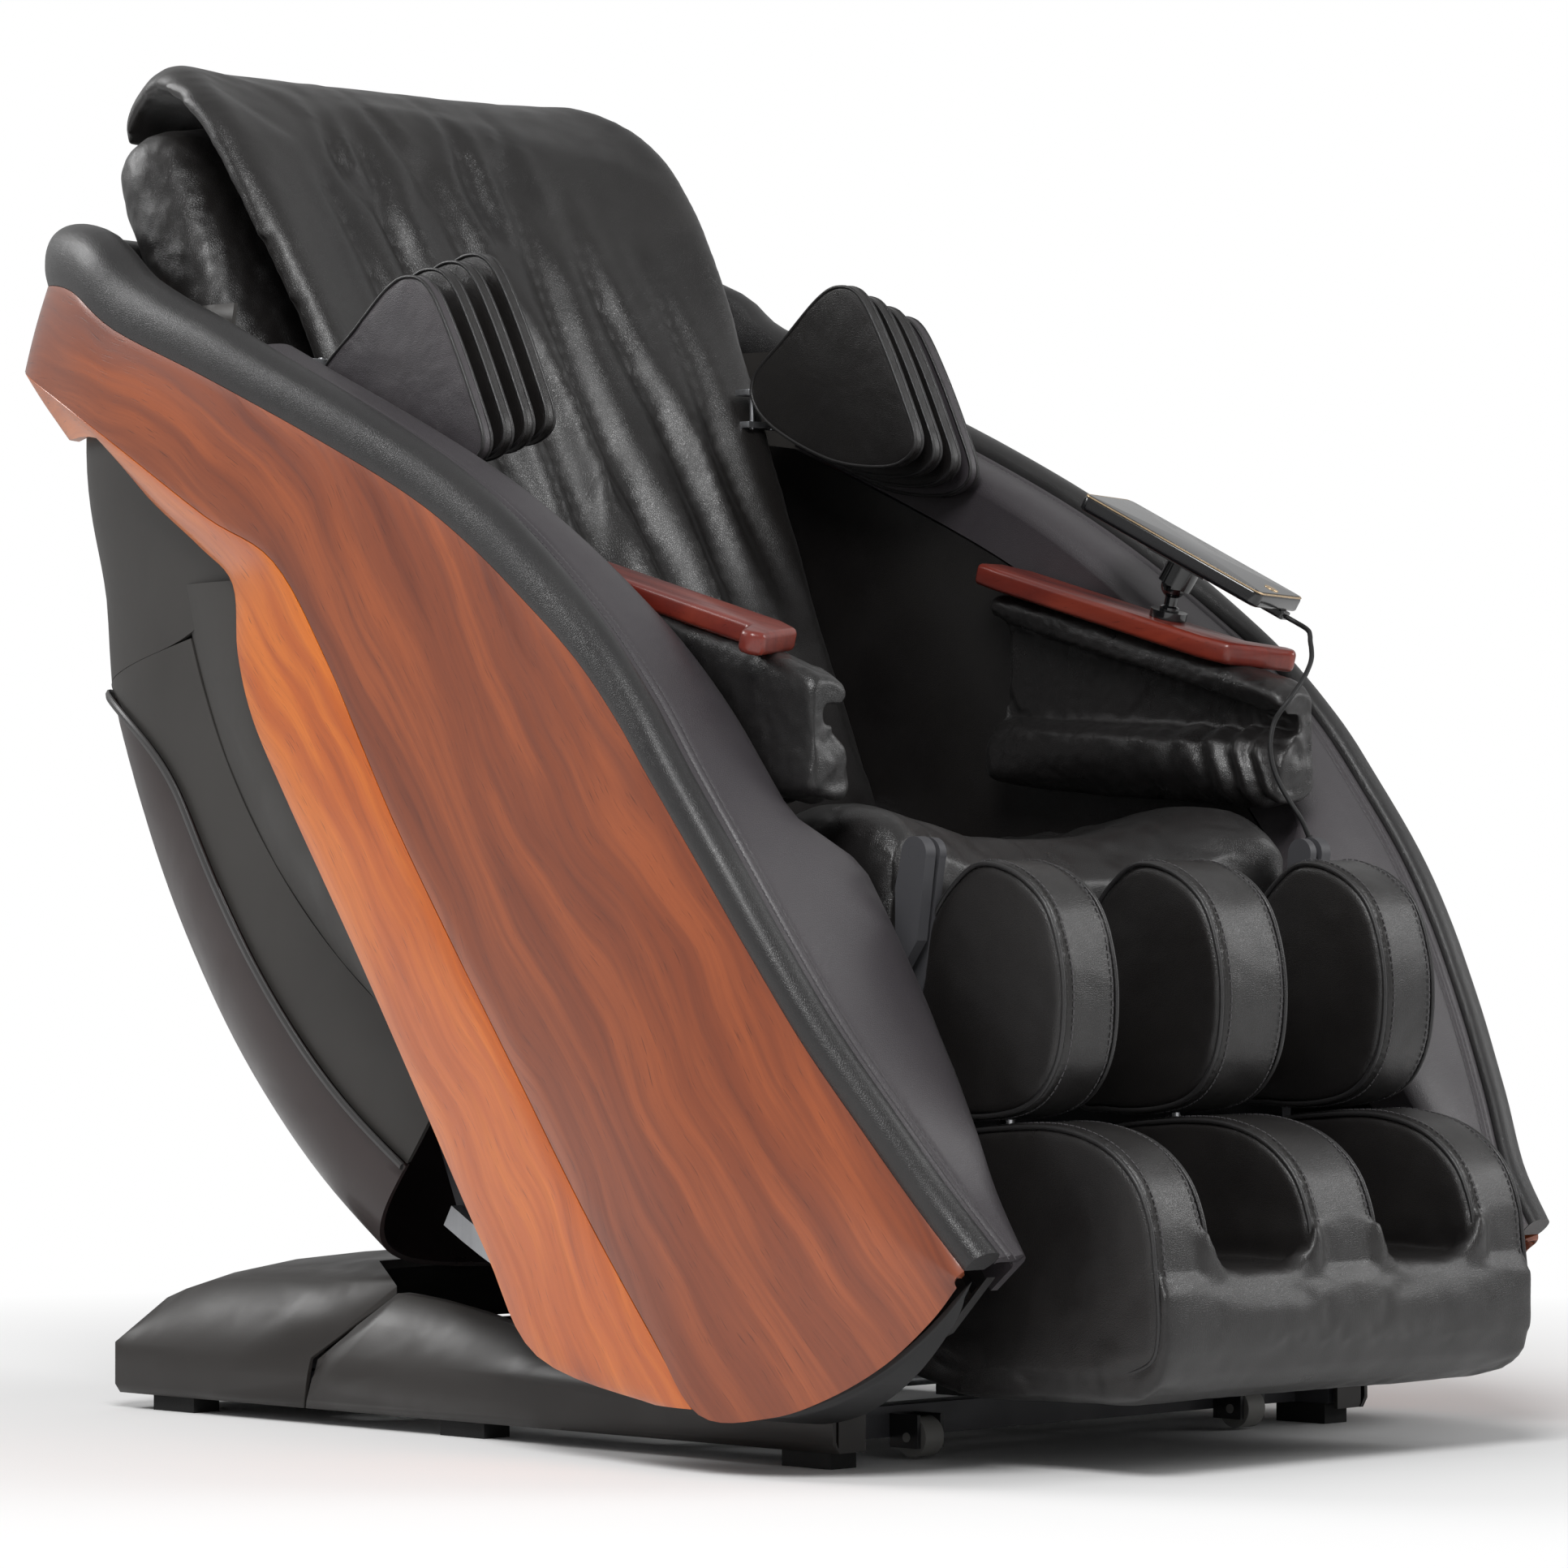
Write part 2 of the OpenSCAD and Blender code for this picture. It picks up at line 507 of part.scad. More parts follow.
// Small wheels at the front of the base, for moving the chair when it is tipped
wheel_x = 205;
wheel_y = cross_front - 20;
wheel_r = 17;
wheel_z = wheel_r + 2;
wheel_w = 22;
wheel_pin_r = 4;
ear_t = 4;
module wheel_bracket() {
  color("#1c1c1c") for (s = [-1, 1]) translate([s * wheel_x, 0, 0]) difference() {
    union() {
      for (k = [-1, 1]) translate([k * (wheel_w / 2 + 1 + ear_t / 2) - ear_t / 2, wheel_y - 12, 10])
        cube([ear_t, cross_front - wheel_y + 12 - seat_gap, 28]);
      translate([-wheel_w / 2 - 2, cross_front - 2.4 - seat_gap, tube_z]) cube([wheel_w + 4, 2.4, 20]);
    }
    translate([-40, wheel_y, wheel_z]) rotate([0, 90, 0]) cylinder(r = wheel_pin_r + pin_gap, h = 80);
  }
}
module transport_wheels() {
  color("#8f9092") for (s = [-1, 1]) translate([s * wheel_x, wheel_y, wheel_z]) rotate([0, 90, 0]) {
    translate([0, 0, -wheel_w / 2]) cylinder(r = wheel_r, h = wheel_w);
    translate([0, 0, -wheel_w / 2 - ear_t - 2]) cylinder(r = wheel_pin_r, h = wheel_w + 2 * ear_t + 4);
  }
}

// Frame of the cocoon: two plates beside the leg rest, joined to the side walls by tubes
plate_x = leg_x + 6;
plate_t = 12;
tube_r = 14;
cross_tubes = [[-330, 330], [-200, 385], [110, 350], [255, 575]];
arc_steps = [for (a = [-12:6:30]) a];
module main_frame() {
  color("#454548") difference() {
    union() {
      for (s = [-1, 1]) in_side_plane(s > 0 ? plate_x : -plate_x - plate_t, plate_t) union() {
        translate([knee_y, knee_z]) circle(r = 14);
        polygon(concat(
          [[knee_y - 14, knee_z], [knee_y - 4, 432], [-382, 396], [-372, 300], [-376, 220]],
          [for (a = arc_steps) on_arc(cradle_in + 8, a)],
          [[178, 260], [190, 350], [120, seat_under - 27], [-368, seat_under - 4.6], [-384, seat_under - 2], [-384, seat_under + 60], [knee_y + 14, knee_z]]));
      }
      for (s = [-1, 1]) translate([s > 0 ? plate_x + 2 : -wall_x + seat_gap, cross_tubes[0][0], cross_tubes[0][1]])
        rotate([0, 90, 0]) cylinder(r = tube_r, h = wall_x - seat_gap - plate_x - 2);
      for (k = [1:3]) translate([-wall_x + seat_gap, cross_tubes[k][0], cross_tubes[k][1]])
        rotate([0, 90, 0]) cylinder(r = tube_r, h = 2 * (wall_x - seat_gap));
      // Clevis for the leg actuator, on the middle tube
      for (x = [-19, 11]) translate([leg_act_x + x, leg_pin[0] - 27, leg_pin[1] - 15]) cube([8, 42, 68]);
    }
    translate([-half_w, knee_y, knee_z]) rotate([0, 90, 0]) cylinder(r = hinge_pin_r + pin_gap, h = chair_w);
    translate([leg_act_x - 30, leg_pin[0], leg_pin[1]]) rotate([0, 90, 0]) cylinder(r = act_pin_r + pin_gap, h = 60);
  }
}
seat_under = seat_z - seat_t;
module cradle_rails() {
  color("#8a8b8e") for (s = [-1, 1]) translate([s > 0 ? cradle_x : -cradle_x - cradle_t, rock_y, rock_z])
    rotate([90, 0, 90]) linear_extrude(height = cradle_t) polygon(concat(
      [for (a = [-12:2:30]) [cradle_out * sin(a), -cradle_out * cos(a)]],
      [for (a = [30:-2:-12]) [cradle_in * sin(a), -cradle_in * cos(a)]]));
}

// Rear shell: turned about the rocking axis, with drawn-up sides. A tongue-shaped lower
// shell fills its middle, and skirts of the upper cover run down beside it
shell_depth = 240;
shell_w_at = [[30, 306], [36, 318], [46, 338], [56, 354], [66, 366], [78, 376]];
function shell_half(a) = look(shell_w_at, a) + panel_x - 427;
square_at = [[36, 5], [46, 4.2], [56, 3.6], [66, 3.3], [77, 3.2]];
function shell_at(a, u, t) =
  let (w = shell_half(a) - t, b = 90 * u, s = sin(abs(b)), c = cos(b),
    e = 2 / look(square_at, a), x = w * sign(b) * pow(s, e), d = (shell_depth - t) * pow(max(c, 0), e),
    q = on_arc(shell_r - shell_depth + d, a))
  [x, q[0], q[1]];
shell_top = 76.5;
shell_low = 34;
tongue_u = 0.92;
corner_a = 65;
function tongue(a) = a < corner_a ? tongue_u :
  tongue_u * (0.55 + 0.45 * sqrt(max(0, 1 - pow((a - corner_a) / (shell_top - corner_a), 2))));
function low_at(u) = shell_low - 2 * pow(abs(u), 3);
tongue_us = [-1, -0.92, -0.8, -0.62, -0.42, -0.2, 0, 0.2, 0.42, 0.62, 0.8, 0.92, 1];
tongue_as = [0, 0.12, 0.25, 0.38, 0.5, 0.62, 0.72, 0.8, 0.87, 0.93, 0.97, 1];
function tongue_at(k, v, t) =
  let (top = lerp(low_at(0), shell_top, k), u = v * tongue(top)) shell_at(lerp(low_at(u), shell_top, k), u, t);
module rear_lower_shell() {
  color("#2b2020") slab(
    [for (k = tongue_as) [for (v = tongue_us) tongue_at(k, v, 0)]],
    [for (k = tongue_as) [for (v = tongue_us) tongue_at(k, v, cover_t)]]);
}
// Skirts: from the tongue's edge to the shell's side edge
skirt_us = [0, 0.2, 0.45, 0.7, 0.88, 1];
function skirt_at(k, s, t) =
  let (top = lerp(low_at(0), shell_top, k), u = lerp(tongue(top) + 0.006, 1, s), low = low_at(u))
  shell_at(lerp(low, shell_top, k), u, t);
module skirt() {
  slab([for (k = tongue_as) [for (s = skirt_us) skirt_at(k, s, 0)]],
    [for (k = tongue_as) [for (s = skirt_us) skirt_at(k, s, cover_t)]]);
}
// Upper cover: behind the head and shoulders, its lower edge along the shell's upper one
cover_us = [-1, -0.94, -0.85, -0.74, -0.62, -0.46, -0.26, 0, 0.26, 0.46, 0.62, 0.74, 0.85, 0.94, 1];
cover_rows = [[745, 382, 622, 3.5], [790, 382, 632, 3.7], [850, 382, 644, 3.8], [930, 379, 649, 3.65], [992, 373, 644, 3.6]];
cover_back = 330;
function cover_at(r, u, t) =
  let (b = 90 * u, w = r[1] + panel_x - 427 - t, d = cover_back - t)
  [w * sign(b) * pow(sin(abs(b)), 2 / r[3]), r[2] - cover_back + d * pow(max(cos(b), 0), 2 / r[3]), r[0]];
function cover_grid(t) = concat(
  [[for (u = cover_us) shell_at(shell_top + 0.03, u, t)]],
  [for (r = cover_rows) [for (u = cover_us) cover_at(r, u, t)]]);
module rear_upper_cover() {
  color("#3c3b3a") {
    slab(cover_grid(0), cover_grid(cover_t));
    for (s = [-1, 1]) on_side(s) skirt();
  }
}
// Trim strip over the seam round the lower shell
strip_half = 4.5;
seam_side = [for (k = [0, 0.15, 0.3, 0.45, 0.58, 0.68, 0.76, 0.83, 0.89, 0.94, 0.975, 0.995]) k];
function seam_at(k, s, t) = let (top = lerp(low_at(0), shell_top, k), u = s * (tongue(top) + 0.003))
  shell_at(lerp(low_at(u), shell_top, k), u, t);
seam_path = function(t) concat(
  [for (k = seam_side) seam_at(k, -1, t)],
  [for (v = [-0.85, -0.6, -0.3, 0, 0.3, 0.6, 0.85]) shell_at(shell_top, v * tongue(shell_top), t)],
  [for (i = [len(seam_side) - 1:-1:0]) seam_at(seam_side[i], 1, t)]);
seam_line = seam_path(0);
seam_over = seam_path(-8);
function seam_ring(i) =
  let (n = unit(seam_over[i] - seam_line[i]), t = path_t(seam_line, i), w = unit(cross(t, n)), p = seam_line[i] + 3.2 * n)
  [p - strip_half * w, p - strip_half * w + 1.5 * n, p - 2 * w + 3.4 * n, p + 2 * w + 3.4 * n,
    p + strip_half * w + 1.5 * n, p + strip_half * w];
module arch_trim() { color("#38383a") loft([for (i = [0:len(seam_line) - 1]) seam_ring(i)]); }

// Seat
seat_front = -380;
seat_back = 60;
seat_half = seat_w / 2;
seat_rise = 52;
seat_dip = 0.09;
function seat_top(x, y) = seat_z + seat_rise * pow(abs(x / seat_half), 2.4) - seat_dip * (y - seat_front)
  + 10 * sin(180 * min((y - seat_front) / 200, 1)) ;
seat_ys = [0, 14, 50, 110, 190, 280, 380, 430, seat_back - seat_front];
function seat_drop(v) = v < 1 ? 46 : v < 15 ? 16 : v > seat_back - seat_front - 1 ? 40 : v > 425 ? 8 : 0;
seat_us = [-1, -0.96, -0.82, -0.6, -0.3, 0, 0.3, 0.6, 0.82, 0.96, 1];
module seat_cushion() {
  side_drop = function(u) abs(u) > 0.99 ? 40 : abs(u) > 0.9 ? 10 : 0;
  color("#1d1c1d") slab(
    [for (v = seat_ys) [for (u = seat_us)
      [u * seat_half, seat_front + v, seat_top(u * seat_half, seat_front + v) - max(seat_drop(v), side_drop(u))]]],
    [for (v = seat_ys) [for (u = seat_us)
      [u * (seat_half - 4), seat_front + 3 + v * 0.985, seat_under - 0.045 * v * 0.985]]]);
}
pan_t = 3;
module seat_pan() {
  color("#303032") translate([0, seat_front + 20, seat_under - 1.3]) rotate([-2.58, 0, 0])
    translate([-plate_x - plate_t, 0, -pan_t]) cube([2 * (plate_x + plate_t), 405, pan_t]);
}

// Back: a plane that leans back from the seat; d runs up it and out stands off it
function lean(d, out) = [back_y + d * sin(back_lean) - out * cos(back_lean), back_z + d * cos(back_lean) + out * sin(back_lean)];
back_len = (chair_h - back_z - 4.4) / cos(back_lean);
// Back pad rows: share of the height, stand-off, half width, bow of the edges, tilt, fullness
pad_rows = [
  [0.00, 0, 236, 0, 0, 0.5], [0.04, 0, 244, 4, 0, 1], [0.16, 0, 252, 12, 0, 1], [0.30, 0, 258, 20, 0, 1],
  [0.45, 0, 266, 30, 0, 1], [0.60, 0, 276, 38, 0, 1], [0.72, 0, 288, 42, 0, 1], [0.82, 0, 296, 38, 4, 1],
  [0.90, -1, 294, 26, 14, 1], [0.955, -12, 284, 8, 40, 1], [0.985, -36, 268, 0, 72, 1],
  [0.988, -66, 260, 0, 92, 1], [0.978, -92, 256, 0, 106, 0.9], [0.968, -104, 256, 0, 114, 0.4]
];
pad_us = [-1, -0.93, -0.75, -0.5, -0.25, 0, 0.25, 0.5, 0.75, 0.93, 1];
folds = 5;
fold_depth = 5;
function pad_point(r, u, t) =
  let (fold = fold_depth * cos(folds * 180 * u) * sin(180 * min(r[0] * 1.05, 1)) * (1 - pow(abs(u), 4)),
    out = r[1] + r[3] * pow(abs(u), 2.2) + fold,
    full = t * r[5] * (abs(u) > 0.99 ? 0.5 : 1),
    q = lean(r[0] * back_len + full * sin(r[4]), out + full * cos(r[4])))
  [u * r[2], q[0], q[1]];
module back_pad() {
  color("#1c1b1c") slab(
    [for (r = pad_rows) [for (u = pad_us) pad_point(r, u, pad_t)]],
    [for (r = pad_rows) [for (u = pad_us) pad_point(r, u, 0)]]);
}
// Bolsters behind the pad's edges: share of the height and how full the section is there
bolster_rows = [[0.36, 0.55], [0.38, 0.9], [0.5, 1], [0.66, 1], [0.8, 1], [0.88, 0.97], [0.925, 0.86], [0.945, 0.6]];
bolster_ring = [
  [190, -14], [245, -14], [281, -24], [298, -52], [296, -88], [272, -118], [235, -134], [190, -138]
];
bolster_mid = [236, -74];
module back_bolster() {
  loft([for (r = bolster_rows) [for (q = bolster_ring)
    let (x = lerp(bolster_mid[0], q[0], r[1]), o = lerp(bolster_mid[1], q[1], r[1]), p = lean(r[0] * back_len, o))
    [x, p[0], p[1]]]]);
}
module back_bolsters() { color("#4b494d") for (s = [-1, 1]) on_side(s) back_bolster(); }
// Rails behind the pad, for the massage carriage, with feet on the cross tubes
rail_t = 8;
rail_deep = 34;
rail_lo = 60;
rail_hi = 0.9 * back_len;
rail_out = -30;
module in_back(d, out) { translate([0, back_y, back_z]) rotate([-back_lean, 0, 0]) translate([0, -out, d]) children(); }
module back_rails() {
  color("#77787b") {
    for (s = [-1, 1]) in_back(rail_lo, rail_out - rail_deep) translate([s * rail_gap / 2, 0, 0]) difference() {
      translate([-12, -rail_deep, 0]) cube([24, rail_deep, rail_hi - rail_lo]);
      translate([s > 0 ? -13 : -7, -rail_deep + rail_t, -1]) cube([20, rail_deep - 2 * rail_t, rail_hi - rail_lo + 2]);
    }
    // Cross bars: the lower two reach the side walls
    for (b = [[rail_lo + 20, wall_x - seat_gap], [262, wall_x - seat_gap], [rail_hi - 40, rail_gap / 2 + 40]])
      in_back(b[0], rail_out - rail_deep - 12 - seat_gap) translate([-b[1], -12, 0]) cube([2 * b[1], 12, 24]);
  }
}
carriage_d = 330;
carriage_l = 110;
carriage_w = rail_gap - 24 - 3 * seat_gap;
knead_out = rail_out - 22;
module carriage_frame() {
  color("#4f5054") in_back(carriage_d, knead_out) difference() {
    union() {
      for (s = [-1, 1]) translate([s * (carriage_w / 2 - 4) - 4, -14, 0]) cube([8, 64, carriage_l]);
      translate([-carriage_w / 2 + 1, 40, 10]) cube([carriage_w - 2, 6, carriage_l - 20]);
      translate([-48, 46, 25]) cube([96, 32, 60]);
    }
    translate([-half_w, 0, carriage_l / 2]) rotate([0, 90, 0]) cylinder(r = knead_r + pin_gap, h = chair_w);
  }
}
massage_x = 62;
module knead_shaft() {
  color("silver") in_back(carriage_d + carriage_l / 2, knead_out) {
    rotate([0, 90, 0]) translate([0, 0, -carriage_w / 2]) cylinder(r = knead_r, h = carriage_w);
  }
}
module massage_rollers() {
  color("#222222") in_back(carriage_d + carriage_l / 2, knead_out)
    for (s = [-1, 1]) translate([s * massage_x - 10, 0, 0]) rotate([0, 90, 0]) difference() {
      cylinder(r = massage_roller_r, h = 20);
      translate([0, 0, -1]) cylinder(r = knead_r + seat_gap / 10, h = 22);
    }
}

// Arms: a padded channel for the forearm under a wooden pad
arm_low = function(y) 545 + (y + 360) * 0.06;
arm_top = function(y) 690 + (y + 290) * 0.27;
arm_inner = wall_x - 56;
arm_face = wall_x - seat_gap;
arm_ys = [-352, -330, -250, -150, -50, 10];
function arm_section(y, end) = let (a = arm_low(y) + end, b = arm_top(y) - pad_wood_t - 0.6 - end, e = end) [
  [arm_inner + e, y, a + 12], [arm_inner + 26, y, a], [arm_face - e / 2, y, a + 8], [arm_face - e / 2, y, (a + b) / 2],
  [arm_face - e / 2, y, b - 4], [arm_inner + 30, y, b], [arm_inner + 6 + e, y, b - 6]];
function arm_inside(y, end) = let (a = arm_low(y) + end, b = arm_top(y) - pad_wood_t - 0.6 - end, e = end) [
  [arm_inner + 2 + e, y, a + 48 - 2 * e], [arm_inner + 22, y, a + 58 - 2 * e], [arm_face - 20, y, a + 62 - e],
  [arm_face - 16, y, (a + b) / 2 + 4], [arm_face - 18, y, b - 26 + e], [arm_inner + 28, y, b - 24 + e],
  [arm_inner + 8 + e, y, b - 20 + e]];
module arm_bolsters() {
  color("#232224") for (s = [-1, 1]) on_side(s) slab(
    [for (k = [0:len(arm_ys) - 1]) arm_section(arm_ys[k], k == 0 || k == len(arm_ys) - 1 ? 6 : 0)],
    [for (k = [0:len(arm_ys) - 1]) arm_inside(arm_ys[k], k == 0 || k == len(arm_ys) - 1 ? 6 : 0)]);
}
pad_wood_t = 20;
arm_plan = [[-58, -255], [-48, -283], [16, -308], [26, -300], [25, -288], [-6, -266], [-6, 0], [-22, 30], [-54, 30], [-58, 0]];
module arm_pad() {
  translate([wall_x, -290, 690 - pad_wood_t]) rotate([atan(0.27), 0, 0]) translate([0, 290, 0])
    linear_extrude(height = pad_wood_t) polygon(arm_plan);
}
module arm_pads() { color("#7c2f22") for (s = [-1, 1]) on_side(s) arm_pad(); }

// Shoulder leaves: four padded plates, fanned from a hinge line near the back
leaf_back = 266;
leaf_shape = [
  [0, 930], [-0.2, 966], [-0.4, 1000], [-0.53, 1010], [-0.66, 1000], [-0.8, 955], [-0.94, 895], [-1, 862],
  [-0.95, 845], [-0.8, 838], [-0.5, 846], [-0.2, 872], [-0.02, 900]
];
leaf_mid = [leaf_back - leaf_l * 0.52, 915];
leaf_gap = 9;
function leaf_x(k) = wall_x - 5 - leaf_t / 2 - k * (leaf_t + leaf_gap);
leaf_edge = [[-0.5, 0.93], [-0.36, 0.985], [0, 1], [0.36, 0.985], [0.5, 0.93]];
module leaf(k) {
  loft([for (e = leaf_edge) [for (q = leaf_shape)
    [leaf_x(k) + e[0] * leaf_t, lerp(leaf_mid[0], leaf_back + q[0] * leaf_l, e[1]), lerp(leaf_mid[1], q[1] + 8 * k, e[1])]]]);
}
// Each moving leaf has a knuckle on a fixed pin; the pins stand in a bracket on the wall
leaf_pin_r = 2.4;
leaf_pin_y = leaf_back + 6;
knuckle_z = 916;
knuckle_h = 24;
leaf_ear_t = 6;
module leaf_pair_part(s, k) {
  color("#57545a") on_side(s) difference() {
    union() {
      leaf(k);
      translate([leaf_x(k) - 3.5, leaf_back - 14, knuckle_z]) cube([7, 19, knuckle_h]);
      translate([leaf_x(k), leaf_pin_y, knuckle_z]) cylinder(r = leaf_pin_r + 1.8, h = knuckle_h);
    }
    translate([leaf_x(k), leaf_pin_y, knuckle_z - 1]) cylinder(r = leaf_pin_r + pin_gap, h = knuckle_h + 2);
  }
}
module leaf_bracket() {
  x0 = leaf_x(3) - 8;
  x1 = wall_x - seat_gap;
  z0 = knuckle_z - seat_gap - leaf_ear_t;
  h = knuckle_h + 2 * seat_gap + 2 * leaf_ear_t;
  for (z = [z0, z0 + h - leaf_ear_t]) {
    translate([x0, leaf_back + 2.6, z]) cube([x1 - x0, 6.8, leaf_ear_t]);
    translate([leaf_x(1) - 8, leaf_back + 2.6, z]) cube([x1 - leaf_x(1) + 8, 18, leaf_ear_t]);
  }
  translate([leaf_x(1) - 8, leaf_back + 15.5, z0]) cube([x1 - leaf_x(1) + 8, 5.5, h]);
  for (k = [1:3]) translate([leaf_x(k), leaf_pin_y, z0]) cylinder(r = leaf_pin_r, h = h);
  translate([x1 - 5, leaf_back + 3, 806]) cube([5, 50, z0 + h - 806]);
  translate([x1 - 5, leaf_back - 30, z0]) cube([5, 40, h]);
}
module shoulder_plates() {
  color("#57545a") for (s = [-1, 1]) on_side(s) union() {
    leaf(0);
    leaf_bracket();
  }
}
module shoulder_leaf_left_2() { leaf_pair_part(-1, 1); }
module shoulder_leaf_left_3() { leaf_pair_part(-1, 2); }
module shoulder_leaf_left_4() { leaf_pair_part(-1, 3); }
module shoulder_leaf_right_2() { leaf_pair_part(1, 1); }
module shoulder_leaf_right_3() { leaf_pair_part(1, 2); }
module shoulder_leaf_right_4() { leaf_pair_part(1, 3); }

// Control box and air pump, under the seat and behind the back
module control_box() {
  color("#3f4246") translate([-215, cross_tubes[2][0] + tube_r + seat_gap, 300]) cube([140, 70, 100]);
}
module air_pump() {
  color("#2e3a44") translate([-55, cross_tubes[3][0] + tube_r + seat_gap + 40, cross_tubes[3][1]]) rotate([0, 90, 0])
    cylinder(r = 40, h = 110);
}

// Actuators: each tube swings on a pin, and its rod's far end stops short of its lug
act_pin_r = 5;
act_r = 17;
act_rod_r = 8;
tilt_pin = [cross_front + 16, 62];
tilt_to = cross_tubes[2];
tilt_x = 62;
leg_act_x = -40;
leg_pin = [140, 290];
leg_to = [-345, 300];
function heading(a, b) = atan2(b[1] - a[1], b[0] - a[0]);
module along(x, a, b) { translate([x, a[0], a[1]]) rotate([heading(a, b), 0, 0]) rotate([-90, 0, 0]) children(); }
// Tube of an actuator: an eye on the pin, a motor and a bored barrel
module actuator(x, a, b, l, motor_side) {
  along(x, a, b) difference() {
    union() {
      rotate([0, 90, 0]) translate([0, 0, -10.7]) cylinder(r = 12, h = 21.4);
      translate([0, 0, 2]) cylinder(r = 10, h = 32);
      translate([0, 0, 30]) cylinder(r = act_r, h = l - 30);
      translate([-act_r, motor_side > 0 ? act_r - 6 : -act_r - 22, 40]) cube([2 * act_r, 28, 60]);
    }
    translate([0, 0, 36]) cylinder(r = act_rod_r + pin_gap, h = l);
    rotate([0, 90, 0]) translate([0, 0, -12]) cylinder(r = act_pin_r + pin_gap, h = 24);
  }
  translate([x - 19, a[0], a[1]]) rotate([0, 90, 0]) cylinder(r = act_pin_r, h = 38);
}
module act_rod(x, a, b, from, to) {
  along(x, a, b) {
    translate([0, 0, from]) cylinder(r = act_rod_r, h = to - from);
    translate([0, 0, to - 14]) cylinder(r = act_rod_r + 3, h = 14);
  }
}
tilt_far = norm(tilt_to - tilt_pin);
leg_far = norm(leg_to - leg_pin);
module tilt_actuator() { color("#2f2f31") actuator(tilt_x, tilt_pin, tilt_to, 260, 1); }
module tilt_rod() { color("silver") act_rod(tilt_x, tilt_pin, tilt_to, 215, tilt_far - tube_r - 14); }
module leg_actuator() { color("#2f2f31") actuator(leg_act_x, leg_pin, leg_to, 400, 1); }
module leg_rod() { color("silver") act_rod(leg_act_x, leg_pin, leg_to, 100, leg_far - 26); }

// Leg rest: three padded walls with a channel each side of the middle one
wall_out = mid_wall / 2 + channel_w;
calf_shape = [
  [-386, 425], [-403, 452], [-426, 479], [-458, 498], [-500, 490], [-534, 463], [-551, 418], [-554, 372],
  [-545, 330], [-520, 300], [-478, 287], [-420, 286], [-387, 300]
];
foot_shape = [
  [-394, 172], [-394, 250], [-420, 272], [-470, 281], [-540, 284], [-592, 272], [-628, 246], [-646, 212], [-648, 172]
];
foot_front = front_y;
crown = [[0, 0.93], [0.1, 0.985], [0.35, 1], [0.65, 1], [0.9, 0.985], [1, 0.93]];
module padded_wall(shape, x0, x1) {
  m = mid(shape);
  loft([for (c = crown) [for (q = shape) [lerp(x0, x1, c[0]), lerp(m[0], q[0], c[1]), lerp(m[1], q[1], c[1])]]]);
}
module three_walls(shape, g) {
  padded_wall(shape, -leg_x, -wall_out - g);
  padded_wall(shape, -mid_wall / 2 + g, mid_wall / 2 - g);
  padded_wall(shape, wall_out + g, leg_x);
}
calf_plate_y = -385.7;
module calf_pads() {
  color("#1f1e1f") {
    // The frame's ears sit flush in the outer walls
    difference() {
      three_walls(calf_shape, 0);
      for (s = [-1, 1]) in_side_plane(s > 0 ? leg_x - 8.3 : -leg_x - 1, 9.3) union() {
        translate([knee_y, knee_z]) circle(r = 13.5);
        polygon([[knee_y - 13.5, knee_z], [knee_y + 13.5, knee_z], [calf_plate_y + 6, 404], [calf_plate_y + 6, 359],
          [calf_plate_y - 3, 359], [-401, 400]]);
      }
    }
    for (s = [-1, 1]) padded_wall([[-386, 310], [-386, 440], [-402, 448], [-413, 430], [-417, 370], [-409, 318], [-397, 306]],
      s * (mid_wall / 2 + 2), s * (wall_out - 2));
  }
}
sleeve_x = 106;
sleeve_y = calf_plate_y + 16;
sleeve_h = 112;
module calf_frame() {
  color("#3c3c3e") difference() {
    union() {
      translate([-leg_x + 12, calf_plate_y, 296]) cube([leg_w - 24, 5, 108]);
      for (s = [-1, 1]) {
        in_side_plane(s > 0 ? leg_x - 8 : -leg_x, 8) union() {
          translate([knee_y, knee_z]) circle(r = 13);
          polygon([[knee_y - 13, knee_z], [knee_y + 13, knee_z], [-388, 416], [calf_plate_y + 5, 404], [calf_plate_y + 5, 360],
            [calf_plate_y - 2, 360], [-400, 400]]);
        }
        translate([s > 0 ? leg_x - 13 : -leg_x + 2, calf_plate_y, 362]) cube([11, 5, 36]);
        translate([s > 0 ? leg_x - 8 : -leg_x - 18, knee_y, knee_z]) rotate([0, 90, 0]) cylinder(r = hinge_pin_r, h = 26);
        translate([s * sleeve_x, sleeve_y, 400 - sleeve_h]) cylinder(r = rod_r + 6, h = sleeve_h);
      }
    }
    for (s = [-1, 1]) translate([s * sleeve_x, sleeve_y, 399 - sleeve_h]) cylinder(r = rod_r + pin_gap, h = sleeve_h + 2);
  }
}
